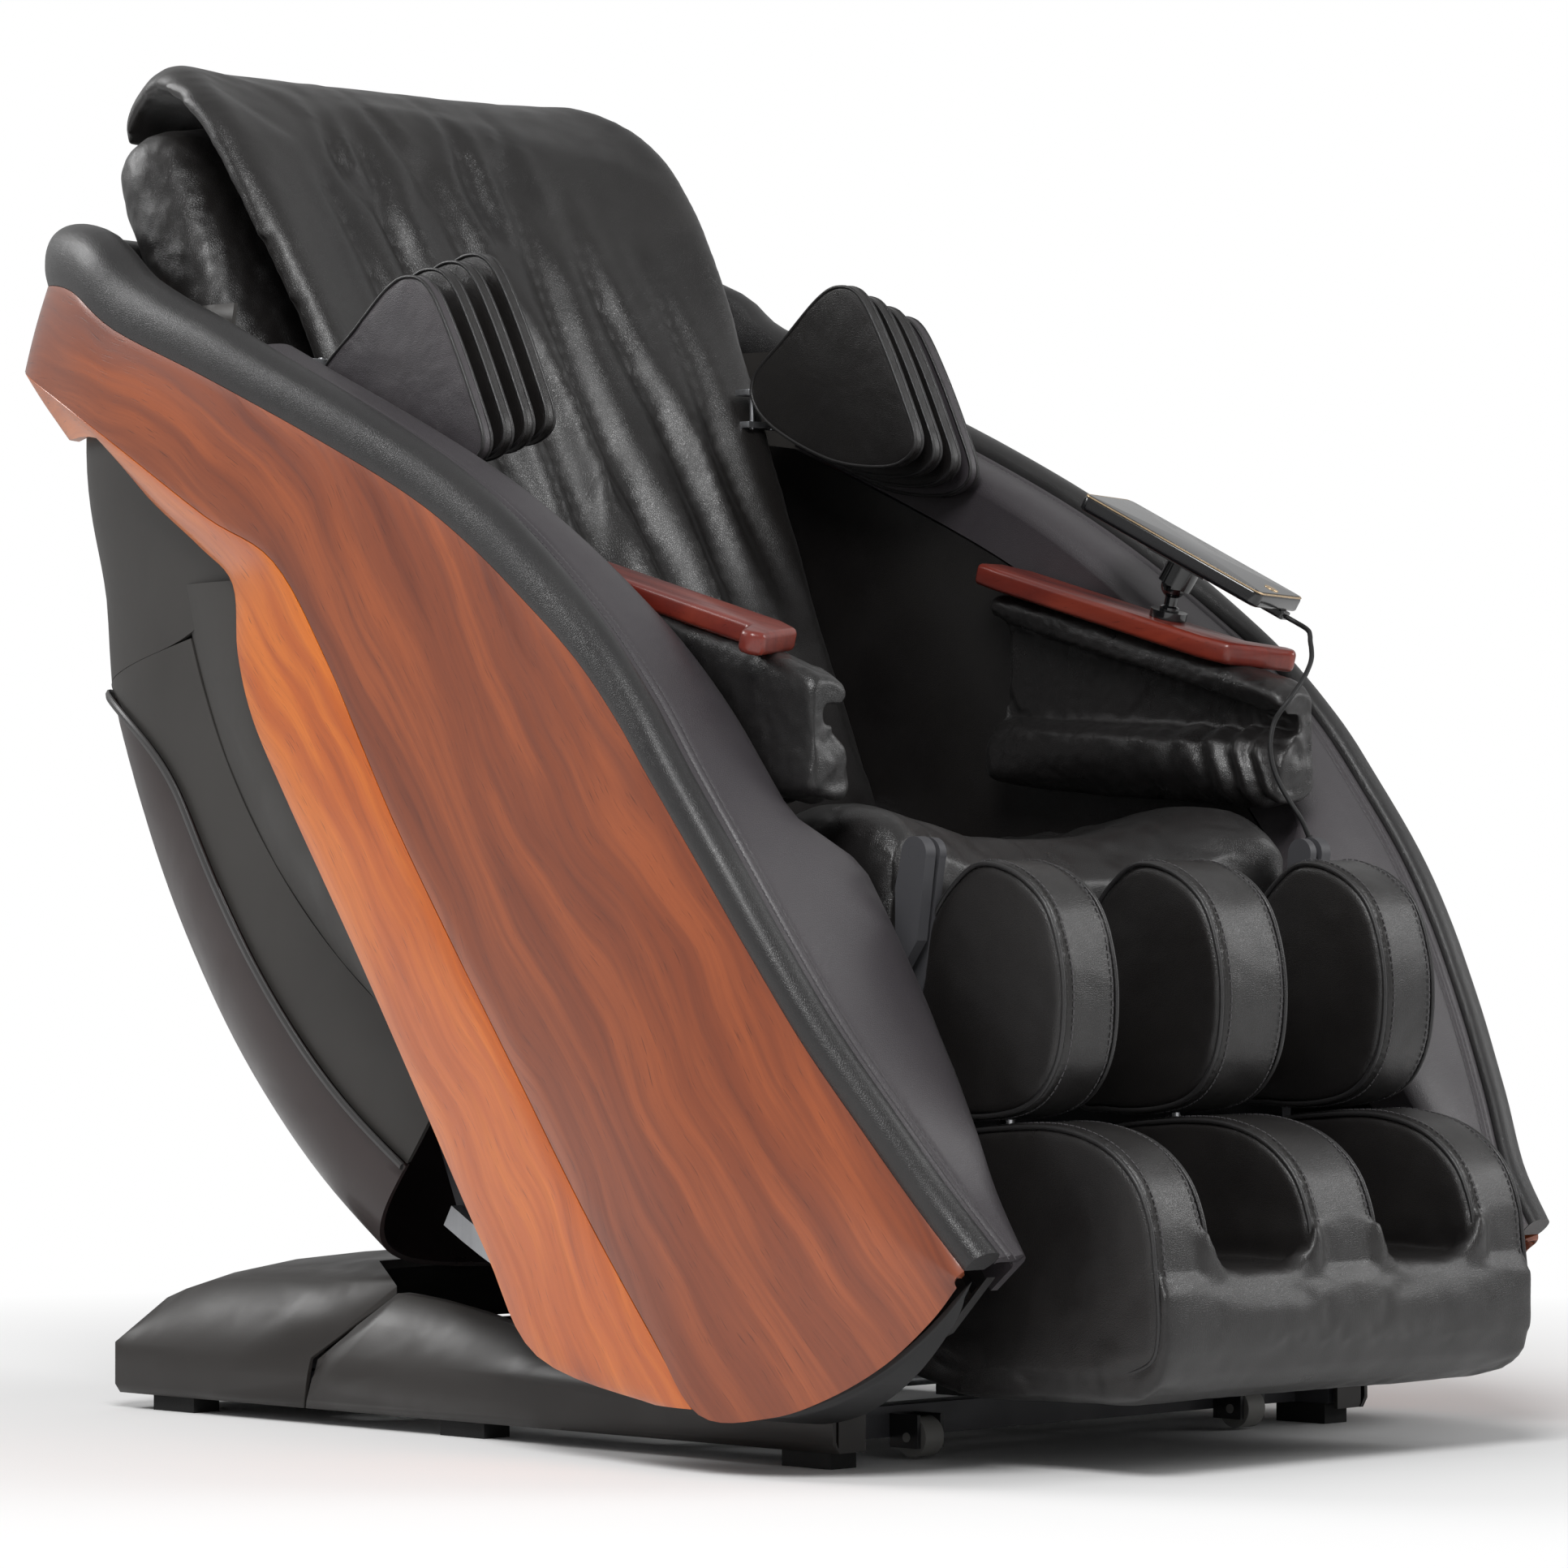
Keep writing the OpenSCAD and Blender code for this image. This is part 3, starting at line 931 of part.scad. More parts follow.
// Foot section
foot_low = 66;
shell_rear = -366;
foot_top = 168;
module slide_rods() {
  color("silver") for (s = [-1, 1]) translate([s * sleeve_x, sleeve_y, 100])
    cylinder(r = rod_r, h = 304);
}
module foot_profile(g) {
  polygon(concat(
    [[shell_rear - g, 74 + g], [-430, 56 + g], [-600, 58 + g], [-636, foot_low - 4 + g], [front_y + 8 + g, foot_low + 12 + g],
      [front_y + g, 104], [front_y + g, foot_top - 8]],
    g > 0 ? [[front_y + g, foot_top - g]] : [[front_y + 2, foot_top - 2], [front_y + 8, foot_top]],
    [[shell_rear - g, foot_top - g]]));
}
foot_wall = 5;
module foot_shell() {
  color("#262425") difference() {
    union() {
      in_side_plane(-leg_x, leg_w) foot_profile(0);
      // Bosses that hold the rods
      for (s = [-1, 1]) translate([s * sleeve_x, sleeve_y, 90]) cylinder(r = rod_r + 6, h = 78);
      for (s = [-1, 1]) translate([s * sleeve_x - 8, shell_rear - 10, 90]) cube([16, 12, 78]);
    }
    in_side_plane(-leg_x + foot_wall, leg_w - 2 * foot_wall) foot_profile(foot_wall);
    for (s = [-1, 1]) translate([s * sleeve_x, sleeve_y, 99]) cylinder(r = rod_r + pin_gap, h = 90);
    for (s = [-1, 1]) translate([s * (mid_wall + channel_w) / 2, 0, 0]) {
      translate([-channel_w / 2 + 6, front_y - 5, foot_top - 12]) cube([channel_w - 12, 30, 30]);
    }
    translate([-leg_x - 1, foot_roller_y, foot_roller_z]) rotate([0, 90, 0]) cylinder(r = 5 + pin_gap, h = leg_w + 2);
  }
}
foot_roller_y = -520;
foot_roller_z = 112;
module foot_rollers() {
  color("#1b1b1b") translate([0, foot_roller_y, foot_roller_z]) rotate([0, 90, 0]) {
    translate([0, 0, -leg_x + 1]) cylinder(r = 5, h = leg_w - 2);
    for (s = [-1, 1]) for (k = [-1, 1])
      translate([0, 0, s * (mid_wall + channel_w) / 2 + k * 26 - 9]) cylinder(r = foot_roller_r, h = 18);
  }
}
module foot_pads() {
  color("#1f1e1f") {
    translate([0, 0, seat_gap + foot_top - 172]) three_walls(foot_shape, 0);
    for (s = [-1, 1]) padded_wall(
      [[-394, foot_top + seat_gap], [-394, 250], [-408, 252], [-418, 230], [-424, foot_top + seat_gap]], s * (mid_wall / 2 + 2), s * (wall_out - 2));
  }
}

// Tablet remote on a ball arm, over the right-hand arm
tablet_at = [301 + panel_x - 427, -214, 768.6];
tablet_pitch = 29;
tablet_yaw = 21.7;
module at_tablet() { translate(tablet_at) rotate([0, 0, tablet_yaw]) rotate([tablet_pitch, 0, 0]) children(); }
tablet_n = [sin(tablet_pitch) * sin(tablet_yaw), -sin(tablet_pitch) * cos(tablet_yaw), cos(tablet_pitch)];
button_r = 7;
button_at = [0, -tablet_l / 2 + 13];
// Plug under the tablet's lower end
plug_at = [24, -tablet_l / 2 - 4, -3.5];
module tablet_remote() {
  color("#171717") at_tablet() difference() {
    union() {
      translate([-tablet_w / 2, -tablet_l / 2, 0]) cube([tablet_w, tablet_l, tablet_t]);
      translate([plug_at[0] - 10, plug_at[1], -7]) cube([20, 24, 8]);
    }
    translate([-tablet_w / 2 + 13, -tablet_l / 2 + 26, tablet_t - 1.5]) cube([tablet_w - 26, tablet_l - 39, 3]);
    translate([button_at[0], button_at[1], tablet_t - 6]) cylinder(r = button_r + 0.3, h = 8);
  }
}
module tablet_button() {
  color("silver") at_tablet() translate([button_at[0], button_at[1], tablet_t - 3.5]) cylinder(r = button_r, h = 4.5);
}
// Socket on the tablet's back, over the ball
socket_t = 4;
ball_drop = 26;
function arc(r, a, b, z) = [for (k = [0:12]) [r * cos(lerp(a, b, k / 12)), z + r * sin(lerp(a, b, k / 12))]];
module tablet_cradle() {
  color("#141414") at_tablet() {
    translate([-26, -30, -5 - seat_gap]) cube([52, 60, 5]);
    translate([0, 0, -5 - seat_gap]) rotate_extrude() polygon(concat(
      [[0, 0], [ball_r + socket_t, 0], [ball_r + socket_t, 5 - ball_drop + seat_gap]],
      arc(ball_r + pin_gap, 0, 90, 5 + seat_gap - ball_drop)));
  }
}
// Arm: a ball on a stem that turns in a foot on the arm pad
pad_slope = atan(0.27);
pad_n = [0, -sin(pad_slope), cos(pad_slope)];
ball_c = tablet_at - ball_drop * tablet_n;
post_h = (ball_c - [wall_x, -290, 690 - pad_wood_t]) * pad_n - pad_wood_t;
foot_r = 17;
module at_foot() { translate(ball_c - post_h * pad_n) rotate([pad_slope, 0, 0]) children(); }
module holder_foot() {
  color("#101010") at_foot() difference() {
    translate([0, 0, seat_gap]) cylinder(r = foot_r, h = 7);
    translate([0, 0, 2]) cylinder(r = 6 + pin_gap, h = 10);
  }
}
module holder_arm() {
  color("#101010") at_foot() rotate_extrude() polygon(concat(
    [[0, 2.3], [6, 2.3], [6, 7.6], [9, 7.6], [9, 10.5], [6, 12]],
    arc(ball_r, -60, 90, post_h)));
}
// Cord from the tablet's lower end down past the arm bolster to a gland by the seat
function tablet_point(p) =
  let (y = p[1] * cos(tablet_pitch) - p[2] * sin(tablet_pitch), z = p[1] * sin(tablet_pitch) + p[2] * cos(tablet_pitch))
  tablet_at + [p[0] * cos(tablet_yaw) - y * sin(tablet_yaw), p[0] * sin(tablet_yaw) + y * cos(tablet_yaw), z];
cord_drop = [
  [356, -310, 704], [342, -324, 694], [322, -342, 677], [297, -353, 658], [274, -356, 639], [266, -347, 621],
  [261, -346, 598], [262, -351, 575], [267, -361, 553], [273, -371, 535], [279, -375, 519]
];
cord_sides = 8;
cord_line = curve(concat([for (d = [0.2, 6, 12]) tablet_point(plug_at - [0, d, 0])], [for (p = cord_drop) p + [panel_x - 427, 0, 0]]), 4);
function ring_at(p, i) =
  let (t = unit(p[min(i + 1, len(p) - 1)] - p[max(i - 1, 0)]), a = unit(cross(t, [1, 0, 0])), b = cross(t, a))
  [for (k = [0:cord_sides - 1]) p[i] + cord_d / 2 * (cos(360 * k / cord_sides) * a + sin(360 * k / cord_sides) * b)];
module remote_cord() { color("#101010") loft([for (i = [0:len(cord_line) - 1]) ring_at(cord_line, i)]); }
gland_dir = unit(cord_line[len(cord_line) - 1] - cord_line[len(cord_line) - 2]);
module cord_gland() {
  p = cord_line[len(cord_line) - 1];
  color("#0d0d0d") translate(p) rotate([0, acos(gland_dir[2]), atan2(gland_dir[1], gland_dir[0])])
    cylinder(r1 = cord_d / 2 + 1, r2 = cord_d / 2 + 4, h = 18);
}

base_frame();
base_rear_cover();
base_rail_covers();
rubber_feet();
wheel_bracket();
transport_wheels();
cradle_rollers_front();
cradle_rollers_rear();
power_inlet();
power_switch();
main_frame();
cradle_rails();
carrier_plates();
wood_panel_left();
wood_panel_right();
wood_edge_left();
wood_edge_right();
cocoon_trim();
side_leather();
side_walls();
lower_edge_strips();
rear_upper_cover();
arch_trim();
rear_lower_shell();
seat_pan();
seat_cushion();
back_bolsters();
back_pad();
arm_bolsters();
arm_pads();
shoulder_plates();
shoulder_leaf_left_2();
shoulder_leaf_left_3();
shoulder_leaf_left_4();
shoulder_leaf_right_2();
shoulder_leaf_right_3();
shoulder_leaf_right_4();
back_rails();
carriage_frame();
knead_shaft();
massage_rollers();
control_box();
air_pump();
tilt_actuator();
tilt_rod();
leg_actuator();
leg_rod();
calf_frame();
calf_pads();
slide_rods();
foot_shell();
foot_pads();
foot_rollers();
holder_foot();
holder_arm();
tablet_cradle();
tablet_remote();
tablet_button();
cord_gland();
remote_cord();
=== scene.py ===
# %% [markdown]
# A massage chair: a leather cocoon between two curved wood panels, on a low plastic base.
# The imported CAD model is the frame that every piece here has to fit, so it is loaded first.

# %% Load the frame
import math

import bmesh
import bpy
from mathutils import Matrix, Vector, kdtree, noise


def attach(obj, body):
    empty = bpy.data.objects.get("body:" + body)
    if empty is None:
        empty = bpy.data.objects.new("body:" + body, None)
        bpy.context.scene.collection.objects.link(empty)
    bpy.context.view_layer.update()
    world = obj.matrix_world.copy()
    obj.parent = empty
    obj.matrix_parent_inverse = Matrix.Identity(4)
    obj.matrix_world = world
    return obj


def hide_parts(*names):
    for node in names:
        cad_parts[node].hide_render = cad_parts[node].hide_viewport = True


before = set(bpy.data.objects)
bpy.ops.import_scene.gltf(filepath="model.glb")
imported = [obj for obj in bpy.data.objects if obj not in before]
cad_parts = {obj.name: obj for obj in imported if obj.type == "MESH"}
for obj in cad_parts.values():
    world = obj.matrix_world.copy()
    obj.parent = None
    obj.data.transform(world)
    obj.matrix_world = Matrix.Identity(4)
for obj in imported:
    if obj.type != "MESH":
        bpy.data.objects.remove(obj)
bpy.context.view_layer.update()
MM = 0.001

# %% [markdown]
# The camera stands low and far off with a long lens, so the chair's uprights stay upright.

# %% Camera
camera_data = bpy.data.cameras.new("camera")
camera_data.sensor_width = 36
camera_data.lens = 154.4
camera_data.clip_end = 60
camera = bpy.data.objects.new("camera", camera_data)
bpy.context.scene.collection.objects.link(camera)
camera.location = (-4.272, -4.213, 0.50)
camera.rotation_euler = Vector((0.712, 0.702, 0.011)).to_track_quat("-Z", "Y").to_euler()
bpy.context.scene.camera = camera
print("camera", tuple(camera.location))

# %% [markdown]
# Most forms here start as short tables of points in millimetres, which a smooth curve joins.
# A Catmull-Rom curve passes through all its points, so a table can be read off the real thing.

# %% Curves and tables
def mix4(a, b, c, d, t):
    return 0.5 * (2 * b + (c - a) * t + (2 * a - 5 * b + 4 * c - d) * t * t + (3 * b - a - 3 * c + d) * t ** 3)


def curve(points, steps, closed=False):
    """A smooth line through the points, with so many steps from each to the next."""
    p = [Vector(q) for q in points]
    n = len(p)
    pick = (lambda i: p[i % n]) if closed else (lambda i: p[min(max(i, 0), n - 1)])
    spans = n if closed else n - 1
    line = [mix4(pick(i - 1), pick(i), pick(i + 1), pick(i + 2), k / steps) for i in range(spans) for k in range(steps)]
    return line if closed else line + [p[-1]]


def look(table, v):
    """Straight-line reading of a table of pairs."""
    if v <= table[0][0]:
        return table[0][1]
    for (a, x), (b, y) in zip(table, table[1:]):
        if v <= b:
            return x + (y - x) * (v - a) / (b - a)
    return table[-1][1]


def lengths(line):
    """Distance along a line to each of its points."""
    total = [0.0]
    for a, b in zip(line, line[1:]):
        total.append(total[-1] + (b - a).length)
    return total


def mirror(points):
    return [Vector((-p[0], p[1], p[2])) for p in points]


# %% [markdown]
# The remote's cord comes first, because its route is shared with the CAD model. It is 4.5 mm
# thick and limp, and runs from the tablet's plug past the arm to a gland beside the seat.
# A Bezier spline with automatic handles gives the slack curve of a soft cord.

# %% Cord route
CORD_ROUTE = [
    (356.37, -284.98, 716.96), (358.24, -289.69, 714.15), (360.18, -294.56, 711.24), (357.29, -310, 704),
    (343.29, -324, 694), (323.29, -342, 677), (298.29, -353, 658), (275.29, -356, 639), (267.29, -347, 621),
    (262.29, -346, 598), (263.29, -351, 575), (268.29, -361, 553), (274.29, -371, 535), (280.29, -375, 519),
]
CORD_DIAMETER = 4.5
cord_line = curve(CORD_ROUTE, 2)


def curve_object(name, lines, radius=0.0, closed=False, resolution=4):
    data = bpy.data.curves.new(name, "CURVE")
    data.dimensions = "3D"
    data.bevel_depth = radius * MM
    data.bevel_resolution = resolution
    data.use_fill_caps = True
    for line in lines:
        spline = data.splines.new("BEZIER")
        spline.bezier_points.add(len(line) - 1)
        spline.use_cyclic_u = closed
        spline.resolution_u = 6
        for knot, p in zip(spline.bezier_points, line):
            knot.co = Vector(p) * MM
            knot.handle_left_type = knot.handle_right_type = "AUTO"
    obj = bpy.data.objects.new(name, data)
    bpy.context.scene.collection.objects.link(obj)
    return obj


cord = curve_object("remote_lead", [cord_line], CORD_DIAMETER / 2)

# %% [markdown]
# Every surface gets a procedural finish: a Principled shader whose colour, roughness and bump
# come from noise in object coordinates. This small class keeps each recipe to a few lines.

# %% A helper for finishes
class Finish:
    """One material: its node tree, its shader and the object coordinates."""

    def __init__(self, name, **constants):
        self.material = bpy.data.materials.new(name)
        self.material.use_nodes = True
        self.tree = self.material.node_tree
        self.shader = self.tree.nodes["Principled BSDF"]
        for socket, value in constants.items():
            self.shader.inputs[socket.replace("_", " ")].default_value = value
        self.place = self.node("TexCoord").outputs["Object"]

    def node(self, kind, inputs=None, **settings):
        made = self.tree.nodes.new("ShaderNode" + kind)
        for key, value in settings.items():
            setattr(made, key, value)
        for key, value in (inputs or {}).items():
            if isinstance(value, bpy.types.NodeSocket):
                self.tree.links.new(value, made.inputs[key])
            else:
                made.inputs[key].default_value = value
        return made

    def noise(self, scale, detail=2.0, place=None, distortion=0.0):
        made = self.node("TexNoise", {
            "Vector": place or self.place, "Scale": scale, "Detail": detail, "Distortion": distortion,
        })
        return made.outputs["Fac"]

    def stretched(self, place, size):
        return self.node("Mapping", {"Vector": place, "Scale": size}).outputs["Vector"]

    def ramp(self, value, stops, ease="LINEAR"):
        made = self.node("ValToRGB", {"Fac": value})
        made.color_ramp.interpolation = ease
        while len(made.color_ramp.elements) < len(stops):
            made.color_ramp.elements.new(0.5)
        for element, (at, colour) in zip(made.color_ramp.elements, stops):
            element.position = at
            element.color = colour if len(colour) == 4 else (*colour, 1)
        return made.outputs["Color"]

    def between(self, value, low, high, from_low=0.3, from_high=0.7):
        made = self.node("MapRange", {
            "Value": value, "From Min": from_low, "From Max": from_high, "To Min": low, "To Max": high,
        })
        return made.outputs["Result"]

    def blend(self, share, a, b, mode="MIX"):
        made = self.node("Mix", data_type="RGBA", blend_type=mode)
        for key, value in (("Factor", share), ("A", a), ("B", b)):
            socket = made.inputs[{"Factor": 0, "A": 6, "B": 7}[key]]
            if isinstance(value, bpy.types.NodeSocket):
                self.tree.links.new(value, socket)
            else:
                socket.default_value = value if key == "Factor" else (*value, 1)
        return made.outputs[2]

    def bump(self, height, depth, strength=1.0, under=None):
        made = self.node("Bump", {"Height": height, "Distance": depth, "Strength": strength})
        if under:
            self.tree.links.new(under, made.inputs["Normal"])
        return made.outputs["Normal"]

    def out(self, colour=None, roughness=None, normal=None):
        for socket, value in (("Base Color", colour), ("Roughness", roughness), ("Normal", normal)):
            if value is not None:
                self.tree.links.new(value, self.shader.inputs[socket])
        return self.material


def srgb(red, green, blue):
    """A colour written as it reads on a screen, 0 to 255, as the linear value a shader wants."""
    return tuple((v / 255 / 12.92) if v <= 10 else ((v / 255 + 0.055) / 1.055) ** 2.4 for v in (red, green, blue))


# %% [markdown]
# The cover is smooth coated leather: a fine pebbled grain under a satin topcoat, with faint
# creases that gather in patches. Cell noise gives the pebbles, wide noise the shade and wear.

# %% Leather finishes
def leather(name, colour, worn, rough=0.42, pebble=620.0, depth=0.00022):
    f = Finish(name, Specular_IOR_Level=0.5, Coat_Weight=0.2, Coat_Roughness=0.3, Sheen_Weight=0.02, Sheen_Roughness=0.5)
    cells = f.node("TexVoronoi", {"Vector": f.place, "Scale": pebble}, feature="DISTANCE_TO_EDGE").outputs["Distance"]
    grain = f.between(cells, 0.0, 1.0, 0.0, 0.22)
    patches = f.noise(7.0, 3.0)
    creases = f.noise(48.0, 5.0, distortion=1.4)
    shade = f.blend(f.between(patches, 0.0, 1.0), colour, worn)
    shade = f.blend(f.between(creases, 0.0, 0.22, 0.45, 0.7), shade, worn)
    normal = f.bump(creases, 0.0004, 0.3)
    normal = f.bump(grain, depth, 0.5, normal)
    return f.out(shade, f.between(f.noise(22.0, 4.0), rough - 0.05, rough + 0.08), normal)


LEATHER_BLACK = leather("leather_black", srgb(18, 17, 17), srgb(27, 25, 25), 0.3)
LEATHER_SOFT = leather("leather_soft_black", srgb(20, 18, 18), srgb(29, 27, 26), 0.33)
LEATHER_GREY = leather("leather_grey", srgb(54, 50, 54), srgb(64, 60, 63), 0.42)
LEATHER_TRIM = leather("leather_trim", srgb(28, 27, 28), srgb(38, 37, 37), 0.36)
LEATHER_FOOT = leather("leather_foot", srgb(22, 20, 20), srgb(32, 30, 29), 0.32)


def thread(name, colour):
    f = Finish(name, Sheen_Weight=0.3)
    twist = f.node("TexWave", {"Vector": f.place, "Scale": 900.0, "Distortion": 1.5}).outputs["Fac"]
    return f.out(
        f.ramp(twist, [(0.2, tuple(0.6 * v for v in colour)), (0.8, colour)]),
        f.between(twist, 0.55, 0.75), f.bump(twist, 0.0002, 0.6),
    )


THREAD = thread("seam_thread", srgb(66, 63, 66))

# %% [markdown]
# The wood is a rosewood-toned veneer under clear lacquer. Its grain runs the length of the
# panel and turns with it, so it follows a UV map laid along the panel and not the room's axes.
# Slow bands give the growth rings, stretched noise the fibres, and short dashes the pores.

# %% Wood finishes
def wood(name, light, middle, dark, bands=7.0, place="UV", coat=0.55, figure=0.5):
    f = Finish(name, Coat_Weight=coat, Coat_Roughness=0.16, Specular_IOR_Level=0.45)
    base = f.node("TexCoord").outputs[place]
    # one unit of the map is a metre: u across the grain, v along it
    wander = f.noise(2.2, 3.0, f.stretched(base, (1.0, 0.8, 1.0)))
    drift = f.node("VectorMath", {0: base, 1: (0.0, 0.0, 0.0)}, operation="ADD")
    shift = f.node("CombineXYZ", {"X": f.between(wander, -0.035, 0.035)}).outputs["Vector"]
    f.tree.links.new(shift, drift.inputs[1])
    flow = drift.outputs["Vector"]
    rings = f.noise(bands, 4.0, f.stretched(flow, (3.2, 0.28, 1.0)))
    streaks = f.noise(46.0, 3.0, f.stretched(flow, (2.4, 0.07, 1.0)))
    fibres = f.noise(420.0, 2.0, f.stretched(flow, (1.6, 0.035, 1.0)))
    pores = f.noise(700.0, 1.0, f.stretched(flow, (1.3, 0.05, 1.0)))
    colour = f.ramp(rings, [(0.28, dark), (0.44, middle), (0.6, light), (0.78, middle)], "EASE")
    colour = f.blend(f.between(streaks, 0.0, figure, 0.42, 0.72), colour, dark)
    colour = f.blend(f.between(fibres, 0.0, 0.3, 0.4, 0.75), colour, middle)
    colour = f.blend(f.between(pores, 0.0, 0.55, 0.66, 0.74), colour, tuple(0.45 * v for v in dark))
    normal = f.bump(f.between(pores, 1.0, 0.0, 0.62, 0.74), 0.00012, 0.4)
    return f.out(colour, f.between(streaks, 0.3, 0.42), normal)


WOOD_MAIN = wood("veneer_red_brown", srgb(160, 82, 44), srgb(134, 66, 37), srgb(98, 44, 26))
# The facet's veneer is the panel's own wood painted lighter and more orange: painted light for the turned facet, not a
# second wood.
WOOD_FACET_PAINTED_LIGHT = wood("veneer_painted_lighter_facet", srgb(220, 118, 34), srgb(196, 95, 25), srgb(152, 66, 18), 9.0, figure=0.35)
WOOD_ARM = wood("mahogany_arm", srgb(132, 52, 36), srgb(112, 38, 28), srgb(78, 24, 18), 12.0, "Object", 0.4)

# %% [markdown]
# The shells and covers are injection-moulded plastic: an even spark-eroded texture, colour
# that drifts a little, and a shine that dulls in patches where hands and shoes rub.

# %% Plastic, rubber and metal finishes
def moulded(name, colour, rough=0.45, texture=900.0, depth=0.00008, coat=0.0):
    f = Finish(name, Specular_IOR_Level=0.45, Coat_Weight=coat, Coat_Roughness=0.1)
    spark = f.noise(texture, 2.0)
    drift = f.noise(5.0, 3.0)
    paler = tuple(min(1.0, 1.25 * v + 0.004) for v in colour)
    rub = f.noise(14.0, 6.0, distortion=0.6)
    shade = f.blend(f.between(drift, 0.0, 0.7), colour, paler)
    return f.out(shade, f.between(rub, rough - 0.07, rough + 0.1), f.bump(spark, depth, 0.6))


def metal(name, colour, rough=0.3, along=(1.0, 1.0, 0.04), marks=260.0):
    f = Finish(name, Metallic=1.0)
    brush = f.noise(marks, 3.0, f.stretched(f.place, along))
    cloud = f.noise(18.0, 4.0)
    shade = f.blend(f.between(cloud, 0.0, 1.0), colour, tuple(0.78 * v for v in colour))
    return f.out(shade, f.between(brush, rough - 0.06, rough + 0.12), f.bump(brush, 0.00006, 0.4))


PLASTIC_BASE = moulded("base_cover_plastic", srgb(40, 37, 35), 0.42)
PLASTIC_REAR = moulded("rear_cover_plastic", srgb(54, 52, 50), 0.5)
PLASTIC_SHELL = moulded("rear_shell_plastic", srgb(42, 30, 29), 0.34, 700.0, coat=0.15)
PLASTIC_TRIM = moulded("seam_strip_plastic", srgb(58, 57, 57), 0.36)
PLASTIC_BLACK = moulded("black_plastic", srgb(26, 26, 27), 0.4)
PLASTIC_GREY = moulded("grey_plastic", srgb(120, 119, 116), 0.5)
PLASTIC_GLOSS = moulded("gloss_black", srgb(16, 16, 18), 0.16, 400.0, 0.00002, 0.6)
RUBBER = moulded("foot_rubber", srgb(20, 20, 20), 0.78, 500.0, 0.0003)
CORD_RUBBER = moulded("cord_rubber", srgb(22, 22, 23), 0.52, 1200.0, 0.0001)
STEEL_PAINTED = moulded("painted_steel", srgb(62, 62, 65), 0.5, 600.0, 0.00012)
STEEL_ZINC = metal("zinc_plate", (0.52, 0.53, 0.55), 0.38)
CHROME = metal("chrome_rod", (0.72, 0.73, 0.75), 0.16)
GOLD_RIM = metal("anodised_rim", (0.80, 0.60, 0.38), 0.3, (1.0, 1.0, 1.0), 500.0)
print("finishes:", len(bpy.data.materials))

# %% [markdown]
# The cord gets its finish and its ride straight away. It moves with the chair's cocoon, and
# its plug belongs to the tablet.

# %% Finish the cord
cord.data.materials.append(CORD_RUBBER)
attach(cord, "cocoon")
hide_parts("remote_cord")
print("cord rides on the cocoon")

# %% [markdown]
# Three ways to make a mesh do for nearly every piece. A slab closes the space between two
# grids of points, a loft runs through a row of closed rings, and a tube follows a line.

# %% Slabs, lofts and tubes
def slab(outer, inner):
    n, m = len(outer), len(outer[0])
    verts = [p for row in outer for p in row] + [p for row in inner for p in row]
    other = n * m
    faces = []
    for i in range(n - 1):
        for j in range(m - 1):
            a = i * m + j
            faces.append((a, a + 1, a + m + 1, a + m))
            faces.append((other + a, other + a + m, other + a + m + 1, other + a + 1))
    rim = [j for j in range(m)] + [i * m + m - 1 for i in range(1, n)]
    rim += [(n - 1) * m + j for j in range(m - 2, -1, -1)] + [i * m for i in range(n - 2, 0, -1)]
    for a, b in zip(rim, rim[1:] + rim[:1]):
        faces.append((b, a, other + a, other + b))
    return verts, faces


def loft(rings, closed=False):
    n, m = len(rings), len(rings[0])
    verts = [Vector(p) for ring in rings for p in ring]
    faces = []
    for i in range(n if closed else n - 1):
        for j in range(m):
            a, b, c, d = i * m + j, i * m + (j + 1) % m, ((i + 1) % n) * m + (j + 1) % m, ((i + 1) % n) * m + j
            faces.append((a, b, c, d))
    if not closed:
        for i in (0, n - 1):
            verts.append(sum((verts[i * m + j] for j in range(m)), Vector()) / m)
            for j in range(m):
                faces.append((len(verts) - 1, i * m + (j + 1) % m, i * m + j))
    return verts, faces


def tube(line, radius, sides=8, closed=False):
    """A round tube along a line; its rings don't twist."""
    n = len(line)
    rings, side = [], Vector((0.31, 0.22, 0.92))
    for i in range(n):
        ahead = line[(i + 1) % n if closed else min(i + 1, n - 1)]
        behind = line[(i - 1) % n if closed else max(i - 1, 0)]
        along = (ahead - behind).normalized()
        side = (side - along * side.dot(along)).normalized()
        up = along.cross(side)
        turn = [2 * math.pi * k / sides for k in range(sides)]
        rings.append([line[i] + radius * (math.cos(t) * side + math.sin(t) * up) for t in turn])
    return loft(rings, closed)


def merge_parts(*parts):
    verts, faces = [], []
    for v, f in parts:
        faces += [tuple(len(verts) + k for k in face) for face in f]
        verts += list(v)
    return verts, faces


def make(name, part, uvs=None, sharp=38.0):
    """A mesh object from points in millimetres, with its faces turned outwards."""
    verts, faces = part
    mesh = bpy.data.meshes.new(name)
    mesh.from_pydata([Vector(v) * MM for v in verts], [], faces)
    obj = bpy.data.objects.new(name, mesh)
    bpy.context.scene.collection.objects.link(obj)
    if uvs:
        layer = mesh.uv_layers.new(name="along")
        for loop in mesh.loops:
            layer.data[loop.index].uv = uvs[loop.vertex_index]
    turn_out(mesh)
    mesh.polygons.foreach_set("use_smooth", [True] * len(mesh.polygons))
    mesh.set_sharp_from_angle(angle=math.radians(sharp))
    return obj


def turn_out(mesh):
    work = bmesh.new()
    work.from_mesh(mesh)
    bmesh.ops.recalc_face_normals(work, faces=work.faces)
    work.to_mesh(mesh)
    work.free()


